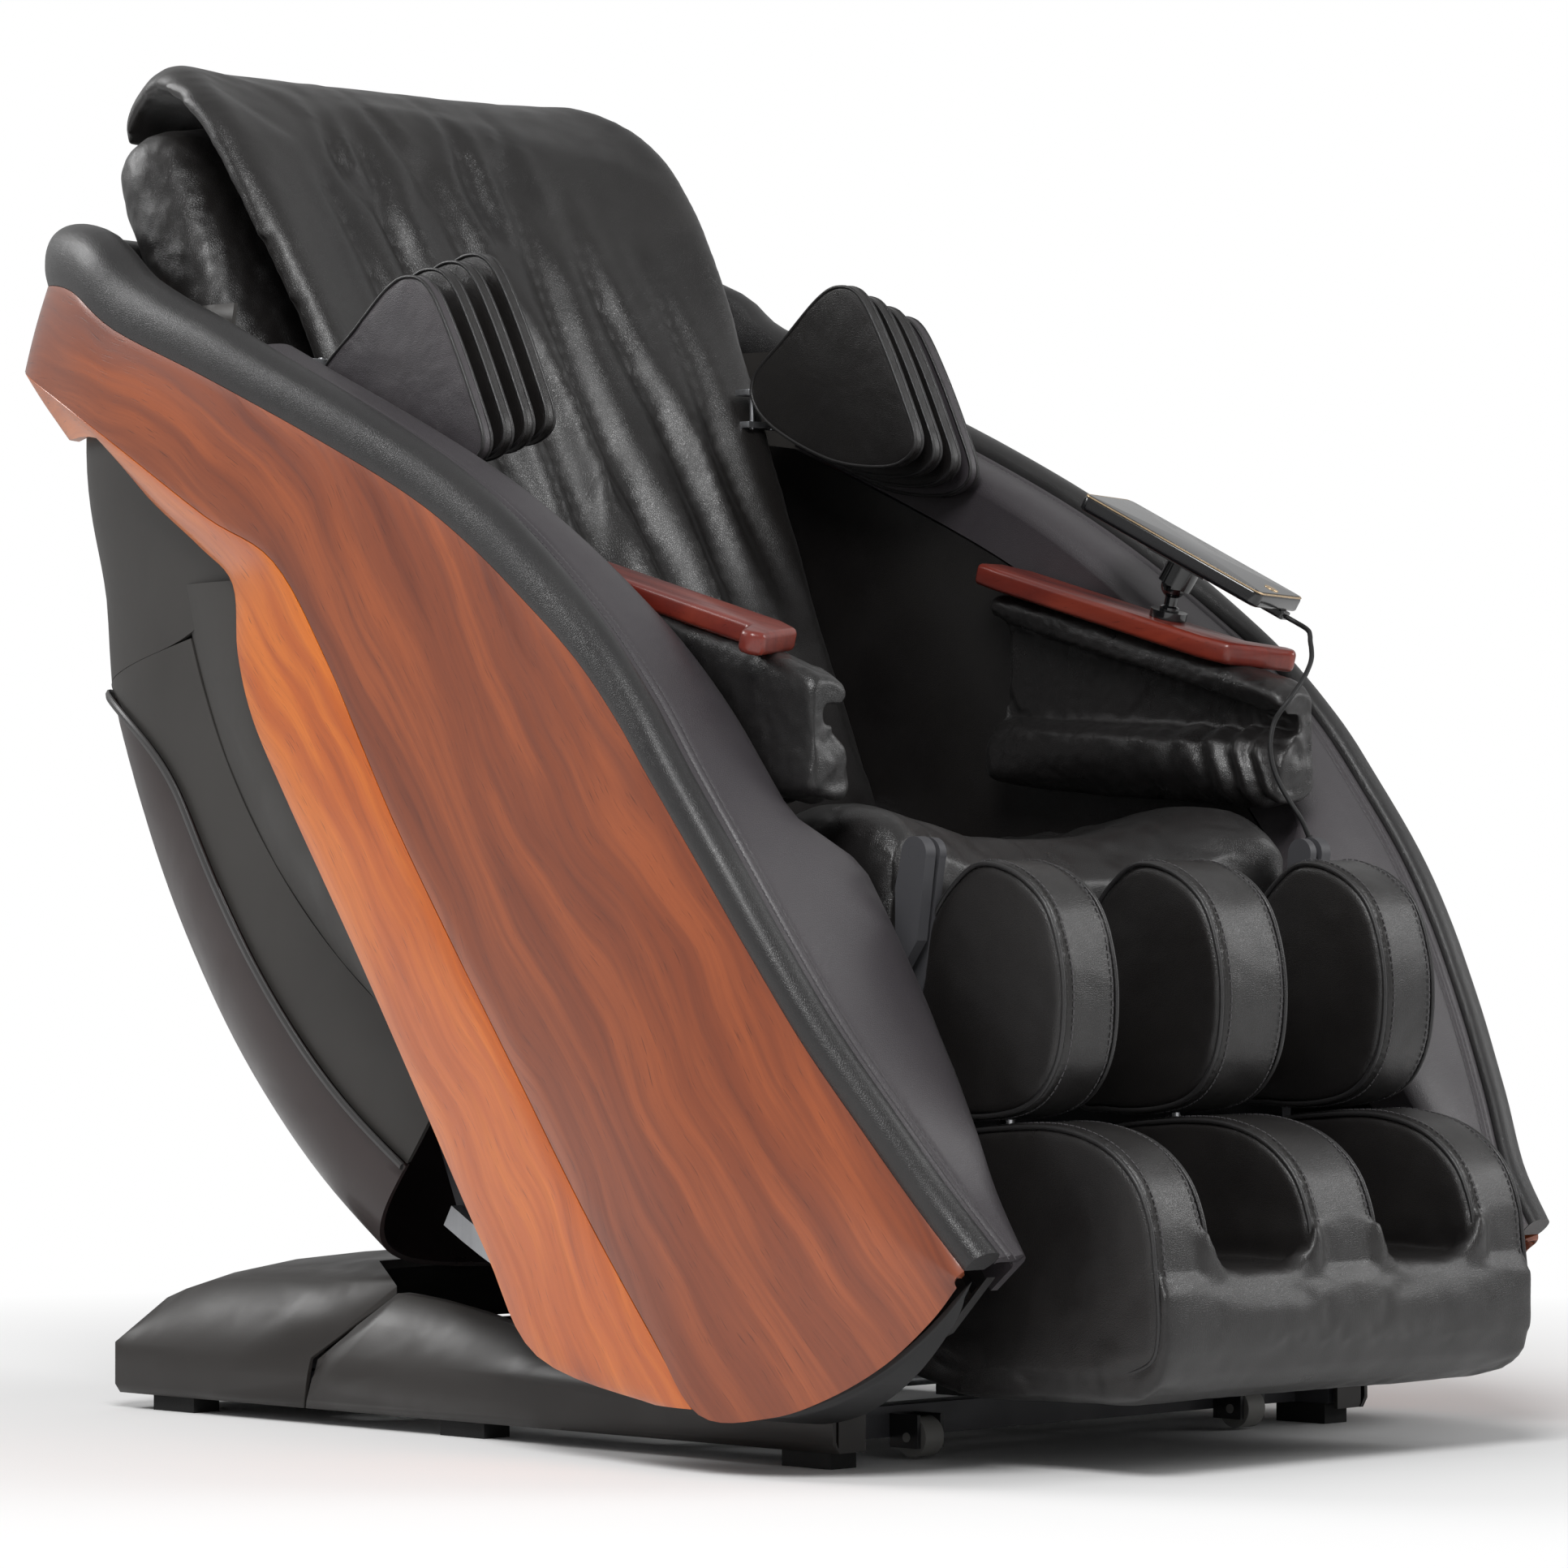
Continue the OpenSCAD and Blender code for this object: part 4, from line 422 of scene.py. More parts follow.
def dress(obj, body, finish, nodes=()):
    """Gives a finished piece its material, its body, and the CAD nodes it stands for."""
    obj.data.materials.clear()
    obj.data.materials.append(finish)
    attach(obj, body)
    if nodes:
        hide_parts(*nodes)
    return obj


def bake(obj, sharp=None):
    """Turns an object and its live modifiers into one plain mesh."""
    graph = bpy.context.evaluated_depsgraph_get()
    mesh = bpy.data.meshes.new_from_object(obj.evaluated_get(graph))
    old, obj.data = obj.data, mesh
    obj.modifiers.clear()
    bpy.data.meshes.remove(old)
    if sharp:
        mesh.polygons.foreach_set("use_smooth", [True] * len(mesh.polygons))
        mesh.set_sharp_from_angle(angle=math.radians(sharp))
    return obj


def modify(obj, kind, **settings):
    made = obj.modifiers.new(kind.title(), kind)
    for key, value in settings.items():
        setattr(made, key, value)
    return made


print("mesh helpers ready")

# %% [markdown]
# Each side panel is bent veneered board, bounded by an upper and a lower edge. Rows of points
# run from one edge to the other with a slight swell between them, so the face is a grid whose
# shape follows the two edge tables. A bevel rounds the board's edges, as sanding does.

# %% The side panels' edges
TOP_EDGE = [
    (301.29, 642, 1020), (373.29, 575, 1022), (411.29, 495, 1010), (424.29, 421, 971), (428.29, 291, 922),
    (428.29, 140, 860), (428.29, 25, 808), (432.09, -53.8, 764), (438.0, -124.7, 717), (445.38, -197.09, 665),
    (450.36, -250.07, 615), (452.96, -291.67, 566), (451.09, -347.8, 495), (442.75, -393.46, 428),
    (426.25, -439.96, 353), (403.29, -484, 284), (380.08, -522.79, 222), (366.26, -562.97, 172),
]
LOW_EDGE = [
    (301.29, 656, 945), (378.29, 602, 945), (408.29, 520, 915), (425.29, 420, 870), (428.29, 290, 800),
    (428.29, 200, 758), (428.29, 131, 672), (428.29, 48, 539), (430.88, -36.59, 423), (437.88, -123.59, 315),
    (446.63, -210.34, 210), (451.09, -293.8, 113), (447.45, -345.16, 50), (432.66, -410.37, 50),
    (411.03, -455.75, 67), (388.02, -496.73, 95), (370.66, -530.37, 130), (363.65, -552.36, 158),
]
FACET_IN = [
    (301.29, 656, 944), (378.29, 602, 944), (408.29, 520, 914), (425.29, 420, 869), (428.29, 290, 799),
    (428.29, 200, 757), (428.29, 131, 671), (428.29, 90, 605), (428.29, 48, 538), (428.29, 7, 479),
    (430.88, -36.59, 422), (437.88, -123.59, 314), (446.63, -210.34, 209), (451.09, -293.8, 112), (448.31, -338.02, 54),
]
FACET_OUT = [
    (301.29, 618, 885), (356.29, 564, 882), (384.29, 484, 876), (398.29, 404, 822), (400.29, 330, 775),
    (399.29, 287, 741), (399.29, 280, 680), (399.29, 260, 622), (399.29, 217, 554), (399.29, 164, 477),
    (399.29, 118, 410), (400.29, 38, 290), (405.64, -47.35, 168), (415.64, -121.35, 84), (438.62, -286.33, 54),
]
# the veneer's grain follows this line, in depth and height: along the head's arm, then down the side
GRAIN_LINE = curve([
    (0, 760, 1060), (0, 560, 985), (0, 330, 885), (0, 205, 800), (0, 110, 690),
    (0, 10, 545), (0, -150, 325), (0, -330, 78), (0, -420, -46),
], 16)
GRAIN_LENGTH = lengths(GRAIN_LINE)


def lerp(a, b, t):
    return a + (b - a) * t


def grain_uv(p):
    """How far p lies along the grain line and to its side, in metres."""
    flat = Vector((0, p[1], p[2]))
    k = min(range(1, len(GRAIN_LINE) - 1), key=lambda i: (GRAIN_LINE[i] - flat).length_squared)
    along = (GRAIN_LINE[k + 1] - GRAIN_LINE[k - 1]).normalized()
    step = flat - GRAIN_LINE[k]
    side = along.cross(Vector((1, 0, 0))).dot(step)
    return ((side + p[0] * 0.35) * MM, (GRAIN_LENGTH[k] + step.dot(along)) * MM)


def grid_normals(grid):
    n, m = len(grid), len(grid[0])
    out = []
    for i in range(n):
        row = []
        for j in range(m):
            du = grid[min(i + 1, n - 1)][j] - grid[max(i - 1, 0)][j]
            dv = grid[i][min(j + 1, m - 1)] - grid[i][max(j - 1, 0)]
            row.append(du.cross(dv).normalized())
        out.append(row)
    return out


def board(grid, thick, outward=None):
    """A slab of even thickness behind a grid; outward tells which side is the face."""
    normals = grid_normals(grid)
    middle = normals[len(grid) * 3 // 5][len(grid[0]) // 2]
    sign = 1 if middle.dot(outward or Vector((1, 0, 0))) > 0 else -1
    back = [[p - thick * sign * q for p, q in zip(row, ns)] for row, ns in zip(grid, normals)]
    return slab(grid, back)


# %% Wood panels
def panel_grid(first, second, steps, columns, crown, ramp_rows):
    a, b = curve(first, steps), curve(second, steps)
    return [
        [
            lerp(p, q, j / columns) + Vector((crown * math.sin(math.pi * j / columns) * min(1, i / ramp_rows), 0, 0))
            for j in range(columns + 1)
        ]
        for i, (p, q) in enumerate(zip(a, b))
    ]


def flip_grid(grid):
    return [[Vector((-p[0], p[1], p[2])) for p in row] for row in grid]


def wooden(name, grid, thick, finish, node, side):
    if side < 0:
        grid = flip_grid(grid)
    part = board(grid, thick, Vector((side, 0, 0)))
    obj = make(name, part, [grain_uv(p) for p in part[0]], 50)
    modify(obj, "BEVEL", width=1.8 * MM, segments=3, limit_method="ANGLE", angle_limit=math.radians(50))
    bpy.context.view_layer.update()
    bake(obj, 50)
    return dress(obj, "cocoon", finish, [node])


for side, word in ((1, "right"), (-1, "left")):
    main = panel_grid(TOP_EDGE, LOW_EDGE, 6, 14, 6.0, 24)
    facet = panel_grid(FACET_IN, FACET_OUT, 6, 6, 2.0, 1)
    wooden(f"side_panel_{word}", main, 12.0, WOOD_MAIN, f"wood_panel_{word}", side)
    # the facet starts a hair below the crease
    facet = [
        [lerp(row[0], row[-1], 0.006 + 0.994 * j / 6) + (p - lerp(row[0], row[-1], j / 6)) for j, p in enumerate(row)]
        for row in facet
    ]
    # the facet takes the lighter copy of the veneer, which is painted light
    wooden(f"side_facet_{word}", facet, 9.0, WOOD_FACET_PAINTED_LIGHT, f"wood_edge_{word}", side)
print("wood panels done")

# %% [markdown]
# A rolled leather trim caps the panels' upper edges and runs round behind the head. It is one
# long loft: a D-shaped ring carried along the edge, slimmer beside the legs than at the back.

# %% Rolled trim
ROLL_HEIGHT = [(400, 0.4), (550, 0.44), (650, 0.52), (720, 0.64), (800, 0.68), (900, 0.76), (970, 0.92), (1012, 1)]
ROLL_WIDTH = [(450, 0.57), (650, 0.6), (800, 0.75), (930, 0.92), (1000, 1)]
TRIM_H, TRIM_W = 57.0, 47.0
TRIM_RING = [
    (0, 0.01), (-0.06, 0.25), (-0.04, 0.56), (0.09, 0.81), (0.34, 0.965),
    (0.64, 1), (0.89, 0.91), (1, 0.7), (1, 0.35), (0.85, 0.01),
]
REAR_SPAN = [
    (301.29, 642, 1020), (204.88, 654.32, 1018.08), (102.44, 660.22, 1016.04), (0, 662.18, 1014),
    (-102.44, 660.22, 1016.04), (-204.88, 654.32, 1018.08), (-301.29, 642, 1020),
]
top_line = curve(TOP_EDGE, 5)
trim_right = list(reversed(top_line))
trim_path = trim_right + curve(REAR_SPAN, 4)[1:-1] + mirror(reversed(trim_right))


def roll_size(z):
    return TRIM_W * look(ROLL_WIDTH, z), TRIM_H * look(ROLL_HEIGHT, z)


def trim_frame(path, i):
    """At a point of the path: which way is inwards, and which way is out of the edge."""
    along = (path[min(i + 1, len(path) - 1)] - path[max(i - 1, 0)]).normalized()
    inward = Vector((-math.copysign(1, path[i].x), 0, 0))
    level = -along.cross(Vector((0, 0, 1))).normalized()
    inward = inward.lerp(level, min(max((path[i].y - 425) / 40, 0), 1)).normalized()
    return inward, -inward.cross(along).normalized()


def trim_point(path, i, a, n):
    inward, out = trim_frame(path, i)
    return path[i] + a * inward + n * out


ring_shape = [(p.x, p.y) for p in curve([(a, b, 0) for a, b in TRIM_RING], 4)]
trim_rings = []
for i, at in enumerate(trim_path):
    w, h = roll_size(at.z)
    soft = 1 + 0.02 * noise.noise(at * 0.02)
    trim_rings.append([trim_point(trim_path, i, a * w, max(b * h * min(soft, 1.0), 0.3)) for a, b in ring_shape])
trim = make("rolled_trim", loft(trim_rings), sharp=60)
dress(trim, "cocoon", LEATHER_TRIM, ["cocoon_trim"])
print("trim rings:", len(trim_rings))

# %% [markdown]
# Seams are collected while the leather pieces are made, and sewn at the end: a piping line is
# a thin tube, and a stitch line is a row of short threads that Geometry Nodes lays on a curve.

# %% Lists for piping and stitches
piping = []    # (body, line, radius, closed)
stitching = []  # (body, line)

# %% [markdown]
# Inside the trim a band of grey leather covers the arm's flank. Its section is pulled over foam,
# and a flat-felled seam with two lines of thread runs down it beside the trim.

# %% Leather band on the arms' flanks
BAND_SECTION = [(0, 0.66), (0.12, 0.74), (0.4, 0.74), (0.7, 0.72), (0.9, 0.62), (1, 0.36)]
BAND_IN = [(170, 303), (212, 293), (265, 282), (318, 274), (378, 270), (490, 270), (528, 322)]
BAND_THICK, BAND_DROP = 8.0, 30.0
SEAM_AT = (9.0, 17.0)
FIRST_SIDE = 20


def band_point(i, reach, height, depth):
    """reach: millimetres in from the wood's edge; height: share of the trim's height."""
    along = (top_line[min(i + 1, len(top_line) - 1)] - top_line[i - 1]).normalized()
    out = Vector((-1, 0, 0)).cross(along).normalized()
    h = roll_size(top_line[i].z)[1]
    n = -BAND_DROP if height < 0 else height * h - depth
    return top_line[i] + Vector((-reach, 0, 0)) + n * out


band_shape = [(p.x, p.y) for p in curve([(s, h, 0) for s, h in BAND_SECTION], 5)]
close_offsets = [0, 3, 6, 7.6, 9, 10.4, 12, 13, 14, 15.6, 17, 18.4, 20, 23]
band_outer, band_inner, band_seams = [], [], ([], [])
for i in range(FIRST_SIDE, len(top_line)):
    start = roll_size(top_line[i].z)[0] + 1.5
    end = top_line[i].x - look(BAND_IN, top_line[i].z)
    reaches = [start + v for v in close_offsets]
    reaches += [lerp(reaches[-1], end, k / 14) for k in range(1, 15)]
    row, under = [], []
    for r in reaches:
        s = min((r - start) / (end - start), 1)
        height = look(band_shape, s)
        groove = (
            sum(1.5 * math.exp(-((r - start - at) / 1.5) ** 2) for at in SEAM_AT)
            - 0.9 * math.exp(-((r - start - 13) / 3) ** 2)
        )
        puff = 1.6 * math.sin(math.pi * min(max((r - start - 20) / max(end - start - 24, 1), 0), 1))
        row.append(band_point(i, r, height, groove - puff))
        under.append(band_point(i, r - (BAND_THICK if s > 0.8 else 0), height, BAND_THICK))
    row += [band_point(i, end, 0.30, 0), band_point(i, end, -1, 0)]
    under += [band_point(i, end - BAND_THICK, 0.30, BAND_THICK), band_point(i, end - BAND_THICK, -1, 0)]
    band_outer.append(row)
    band_inner.append(under)
    for line, at in zip(band_seams, SEAM_AT):
        line.append(band_point(i, start + at, look(band_shape, at / (end - start)), 1.2))
band = merge_parts(slab(band_outer, band_inner), slab(flip_grid(band_outer), flip_grid(band_inner)))
arm_flanks = make("arm_flank_leather", band, sharp=60)
dress(arm_flanks, "cocoon", LEATHER_GREY, ["side_leather"])
for line in band_seams:
    stitching += [("cocoon", line), ("cocoon", mirror(line))]
print("flank rows:", len(band_outer))

# %% [markdown]
# The shells and covers have the right shape in the CAD model but show its flat facets. Their
# meshes are copied, triangles are joined into quads, sharp corners are creased, and a
# subdivision surface rounds the rest. The CAD object itself stays as it is, hidden.

# %% Smooth copies of moulded shells
def smooth_copy(name, node, finish, body, levels=2, crease=32.0, sharp=40.0):
    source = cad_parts[node]
    mesh = source.data.copy()
    obj = bpy.data.objects.new(name, mesh)
    bpy.context.scene.collection.objects.link(obj)
    work = bmesh.new()
    work.from_mesh(mesh)
    bmesh.ops.remove_doubles(work, verts=work.verts, dist=2e-5)
    bmesh.ops.dissolve_degenerate(work, edges=work.edges, dist=1e-5)
    bmesh.ops.join_triangles(
        work, faces=work.faces, angle_face_threshold=math.radians(25), angle_shape_threshold=math.radians(60))
    bmesh.ops.recalc_face_normals(work, faces=work.faces)
    layer = work.edges.layers.float.new("crease_edge")
    for edge in work.edges:
        if len(edge.link_faces) == 2 and edge.calc_face_angle(0) > math.radians(crease):
            edge[layer] = 1.0
    work.to_mesh(mesh)
    work.free()
    mesh.attributes.remove(mesh.attributes["sharp_edge"]) if "sharp_edge" in mesh.attributes else None
    modify(obj, "SUBSURF", levels=levels, render_levels=levels)
    bpy.context.view_layer.update()
    bake(obj, sharp)
    return dress(obj, body, finish, [node])


smooth_copy("head_cover", "rear_upper_cover", PLASTIC_REAR, "cocoon")
smooth_copy("back_shell", "rear_lower_shell", PLASTIC_SHELL, "cocoon")
smooth_copy("back_seam_strip", "arch_trim", PLASTIC_TRIM, "cocoon")
smooth_copy("panel_lower_strips", "lower_edge_strips", PLASTIC_BLACK, "cocoon")
smooth_copy("base_dome", "base_rear_cover", PLASTIC_BASE, "base", 1)
smooth_copy("base_side_covers", "base_rail_covers", PLASTIC_BASE, "base", 1)
print("smooth copies done")

# %% [markdown]
# Between the rear shell's side edge and the veneered facet, a moulded panel closes the gap. Each
# of its rows runs from the shell's edge, which is an arc about the rocking axis, to a line
# tucked behind the facet. The rows bulge a little, as a moulding does.

# %% Closing panels beside the rear shell
ROCK_Y, ROCK_Z, SHELL_EDGE_R = -230.0, 840.0, 617.0
SHELL_HALF = [(34, 306), (36, 318), (46, 338), (56, 354), (66, 366), (76.5, 374.5), (80, 378), (83, 380)]


def shell_edge(a):
    t = math.radians(a)
    return Vector((look(SHELL_HALF, a), ROCK_Y + SHELL_EDGE_R * math.sin(t), ROCK_Z - SHELL_EDGE_R * math.cos(t)))


def closing_rows(side, inner):
    facet = curve(FACET_OUT[5:12], 8)
    rows = []
    for i in range(49):
        a = lerp(38.0, 81.0, i / 48)
        rear = shell_edge(a)
        rise = i / 48 * (len(facet) - 1)
        k = min(int(rise), len(facet) - 2)
        front = lerp(facet[len(facet) - 1 - k], facet[len(facet) - 2 - k], rise - k) + Vector((-9, -14, 4))
        row = []
        for j in range(9):
            v = j / 8
            q = lerp(rear, front, v) + Vector((5 * math.sin(math.pi * v) - inner, 0, 0))
            row.append(Vector((side * q.x, q.y, q.z)))
        rows.append(row)
    return rows


closers = [slab(closing_rows(s, 0), closing_rows(s, 3)) for s in (-1, 1)]
dress(make("rear_closing_panels", merge_parts(*closers), sharp=40), "cocoon", PLASTIC_REAR)
print("closing panels done")

# %% [markdown]
# Padded leather is made as a pattern-maker would: a body of the right form, held where it is
# sewn, and blown up a little by cloth simulation so that the panels swell between their seams.
# The body is voxel-remeshed to an even grid first. The swelling is capped, so that no cushion
# grows into its neighbour, and one subdivision follows.

# %% The padding helper
SWELL_FRAMES = 20


def inflate(obj, pinned, cap, pressure=4.0, voxel=5.0, hold=9.0, cloth=True):
    """Remeshes obj, lets it swell between the pinned points (millimetres), and subdivides it."""
    if voxel:
        modify(obj, "REMESH", mode="VOXEL", voxel_size=voxel * MM)
        modify(obj, "SMOOTH", factor=0.5, iterations=2)
        bpy.context.view_layer.update()
        bake(obj)
    if cloth:
        rest = [v.co.copy() for v in obj.data.vertices]
        pins = kdtree.KDTree(len(pinned))
        for k, p in enumerate(pinned):
            pins.insert(Vector(p) * MM, k)
        pins.balance()
        group = obj.vertex_groups.new(name="held")
        for v in obj.data.vertices:
            away = pins.find(v.co)[2] / MM
            group.add([v.index], min(max(1 - (away - hold * 0.4) / (hold * 0.6), 0), 1), "REPLACE")
        swell = modify(obj, "CLOTH")
        swell.settings.quality = 4
        swell.settings.mass = 0.3
        swell.settings.tension_stiffness = swell.settings.compression_stiffness = 8
        swell.settings.bending_stiffness = 0.6
        swell.settings.use_pressure = True
        swell.settings.uniform_pressure_force = pressure
        swell.settings.vertex_group_mass = "held"
        swell.settings.effector_weights.gravity = 0
        swell.collision_settings.use_collision = False
        swell.point_cache.frame_start, swell.point_cache.frame_end = 1, SWELL_FRAMES
        for step in range(1, SWELL_FRAMES + 1):
            bpy.context.scene.frame_set(step)
        bake(obj)
        obj.vertex_groups.clear()
        bpy.context.scene.frame_set(1)
        for v, start in zip(obj.data.vertices, rest):
            move = v.co - start
            if move.length > cap * MM:
                v.co = start + move * (cap * MM / move.length)
    modify(obj, "SUBSURF", levels=1, render_levels=1)
    bpy.context.view_layer.update()
    return bake(obj, 80)


def press(obj, rule):
    """Moves each vertex along its normal by what rule(point, normal) says, in millimetres."""
    mesh = obj.data
    normals = [v.normal.copy() for v in mesh.vertices]
    moves = [n * (rule(v.co / MM, n) * MM) for v, n in zip(mesh.vertices, normals)]
    for v, move in zip(mesh.vertices, moves):
        v.co += move
    mesh.update()
    return obj


def groove_rule(lines, depth, width):
    """A rule for press that pulls leather in along seams."""
    points = [p for line in lines for p in line]
    tree = kdtree.KDTree(len(points))
    for k, p in enumerate(points):
        tree.insert(Vector(p), k)
    tree.balance()
    return lambda p, n: -depth * math.exp(-((tree.find(p)[2] / width) ** 2))


def even(line, step, closed=False):
    """The same line, resampled at even steps."""
    pts = list(line) + ([line[0]] if closed else [])
    dist = lengths(pts)
    count = max(int(dist[-1] / step), 2)
    out, k = [], 0
    for i in range(count + (0 if closed else 1)):
        at = dist[-1] * i / count
        while k < len(dist) - 2 and dist[k + 1] < at:
            k += 1
        span = dist[k + 1] - dist[k]
        out.append(lerp(pts[k], pts[k + 1], (at - dist[k]) / span if span else 0))
    return out


# %% [markdown]
# A padded plate is a closed outline in the chair's side plane, carried across from one face to
# the other. The rim is a flat band with piping on both its edges, and the two faces are domed.
# The calf walls, the foot walls and the shoulder leaves are all plates of this kind.

# %% Padded plates
def plate_rings(outline, x0, x1, dome, rim=5.0, inset=4.0, steps=7):
    """Rings from the middle of one face, over the rim, to the middle of the other."""
    centre = sum(outline, Vector()) / len(outline)
    size = sum((p - centre).length for p in outline) / len(outline)
    face = [(k / steps, dome * (1 - (k / steps) ** 2.6)) for k in range(1, steps)]
    edge = 1 - inset / size
    section = [(s * edge, x0 - d) for s, d in face] + [(edge, x0), (1 - 0.3 * inset / size, x0 + rim * 0.3), (1, x0 + rim)]
    middle = [(1, lerp(x0 + rim, x1 - rim, k / 6)) for k in range(1, 6)]
    section += middle + [(s, x1 - (x - x0)) for s, x in reversed(section)]
    return [
        [Vector((x, centre.y + (p.y - centre.y) * s, centre.z + (p.z - centre.z) * s)) for p in outline]
        for s, x in section
    ]


def outline_of(points, steps=6):
    return even(curve([(0, a, b) for a, b in points], steps, True), 6.0, True)


def at_x(outline, x, inset=0.0):
    centre = sum(outline, Vector()) / len(outline)
    out = []
    for p in outline:
        inwards = (centre - p).normalized() * inset
        out.append(Vector((x, p.y + inwards.y, p.z + inwards.z)))
    return out


# %% [markdown]
# The leg rest has three padded walls with a channel for each calf between them. Every wall is
# a plate in soft black leather: domed faces, a pulled-in seam on both edges of the rim, piping
# in that seam, and a row of stitches beside it.

# %% Calf walls
CALF_SHAPE = [
    (-386, 425), (-403, 452), (-426, 479), (-458, 498), (-500, 490), (-534, 463), (-551, 418), (-554, 372),
    (-545, 330), (-520, 300), (-478, 287), (-420, 286), (-387, 300),
]
LEG_X, MID_HALF, WALL_OUT = 240.0, 45.0, 167.0
WALLS = [(-LEG_X, -WALL_OUT), (-MID_HALF, MID_HALF), (WALL_OUT, LEG_X)]


def padded_walls(name, shape, seam_inset=3.0):
    outline = outline_of(shape)
    parts, seams = [], []
    for x0, x1 in WALLS:
        low, high = x0 + 2.5, x1 - 2.5
        parts.append(loft(plate_rings(outline, low, high, 1.5, 6.0, 5.0)))
        for x in (low + 2.0, high - 2.0):
            seams.append(at_x(outline, x, seam_inset))
    obj = make(name, merge_parts(*parts))
    return obj, seams


def pucker(p, n, amount=0.9, scale=0.045):
    """Soft unevenness of leather over foam."""
    return amount * noise.fractal(p * scale, 0.6, 2.0, 3)


calf, calf_seams = padded_walls("calf_walls", CALF_SHAPE)
inflate(calf, [p for line in calf_seams for p in line], 7, 3.2)
calf_groove = groove_rule(calf_seams, 2.6, 4.5)
press(calf, lambda p, n: calf_groove(p, n) + pucker(p, n, 0.9, 0.014))
dress(calf, "legrest", LEATHER_SOFT, ["calf_pads"])
for line in calf_seams:
    # piping shows on the front and top of each wall; the back rests on the frame
    start = next((k for k in range(len(line)) if line[k].y >= -392 and line[(k + 1) % len(line)].y < -392), 0)
    turned = line[start + 1:] + line[:start + 1]
    run = [p for p in turned if p.y < -392]
    piping.append(("legrest", run, 2.2, False))
    side = 1 if line[0].x < 0 and abs(line[0].x) > 200 or 0 > line[0].x > -100 or 160 < line[0].x < 200 else -1
    stitching.append(("legrest", [
        p + Vector((side * 8.5, 0, 0)) + (p - Vector((p.x, -470, 390))).normalized() * 3.4 for p in run
    ]))
print("calf walls:", len(calf.data.polygons))

# %% [markdown]
# Behind each channel a flat pad closes the space in front of the steel plate.

# %% Channel backs of the leg rest
BACK_SHAPE = [(-386, 310), (-386, 440), (-402, 448), (-413, 430), (-417, 370), (-409, 318), (-397, 306)]
back_parts = [loft(plate_rings(outline_of(BACK_SHAPE), s * 106 - 59, s * 106 + 59, 1.0, 4.0, 2.0)) for s in (-1, 1)]
calf_backs = make("calf_channel_backs", merge_parts(*back_parts))
inflate(calf_backs, [], 4, voxel=4.5, cloth=False)
press(calf_backs, lambda p, n: pucker(p, n, 1.4))
dress(calf_backs, "legrest", LEATHER_BLACK)

# %% [markdown]
# The foot section is one upholstered block: its leather runs unbroken from the base of the shell
# up over the three walls, with a U-shaped mouth in front of each foot. The shell, the walls and
# the U-shaped fillets overlap as closed bodies, and one voxel remesh melts them together.

# %% Foot block
FOOT_SHAPE = [
    (-394, 172), (-394, 250), (-420, 272), (-470, 281), (-540, 284), (-592, 272), (-628, 246), (-646, 212), (-652, 176),
    (-656, 120), (-640, 90), (-560, 78), (-420, 80), (-392, 110),
]
FOOT_BASE = [
    (-366, 76), (-430, 59), (-600, 61), (-634, 65), (-653, 80), (-661.5, 106), (-661.5, 150), (-655, 164),
    (-520, 164), (-366, 164),
]
foot_parts = [loft([[Vector((x, y, z)) for y, z in FOOT_BASE] for x in [-237.5 + 475 * k / 12 for k in range(13)]])]
foot_outline = outline_of(FOOT_SHAPE, 5)
foot_seams = []
for x0, x1 in WALLS:
    foot_parts.append(loft(plate_rings(foot_outline, x0 + 2.5, x1 - 2.5, 1.0, 6.0, 5.0)))
    for x in (x0 + 4.5, x1 - 4.5):
        foot_seams.append(at_x(foot_outline, x, 3.0))
MOUTH_R = 34.0
for s in (-1, 1):
    for lean_to in (-1, 1):
        wall = s * 106 + lean_to * 63
        arc = [
            (wall - lean_to * MOUTH_R * (1 - math.sin(math.pi / 2 * k / 8)), 164 + MOUTH_R * (1 - math.cos(math.pi / 2 * k / 8)))
            for k in range(9)
        ]
        corner = arc + [(wall + lean_to * 8, 164 + MOUTH_R), (wall + lean_to * 8, 150), (arc[0][0], 150)]
        foot_parts.append(loft([[Vector((x, y, z)) for x, z in corner] for y in (-640, -650, -659)]))
foot_block = make("foot_block", merge_parts(*foot_parts))
foot_pins = [p for line in foot_seams for p in line if p.z > 100]
inflate(foot_block, foot_pins, 3.0, 1.2, 6.0)
foot_groove = groove_rule([[p for p in line if p.z > 172 or p.x < -230 or p.x > 230] for line in foot_seams], 2.2, 4.0)
press(foot_block, lambda p, n: foot_groove(p, n) + pucker(p, n, 0.9, 0.012))
dress(foot_block, "footrest", LEATHER_FOOT, ["foot_pads", "foot_shell"])
for line in foot_seams:
    outer = abs(line[0].x) > 225
    floor_z = 84 if outer else 176
    inside = [k for k in range(len(line)) if line[k].z > floor_z and line[k].y < -400]
    start = next((k for k in range(len(line)) if k not in inside and (k + 1) % len(line) in inside), 0)
    run = []
    for k in range(1, len(line) + 1):
        at = (start + k) % len(line)
        if at not in inside:
            break
        run.append(line[at])
    if len(run) > 3:
        piping.append(("footrest", run, 2.2, False))
        side = 1 if line[0].x < -200 or -100 < line[0].x < 0 or 160 < line[0].x < 200 else -1
        stitching.append(("footrest", [
            p + Vector((side * 8.5, 0, 0)) + (p - Vector((p.x, -520, 170))).normalized() * 3.4 for p in run
        ]))
print("foot block:", len(foot_block.data.polygons))

# %% [markdown]
# Four thin padded leaves hang on each side of the head. They fan out like the pages of a book,
# and their edges are piped. The first is fixed, and the other three turn on their pins.

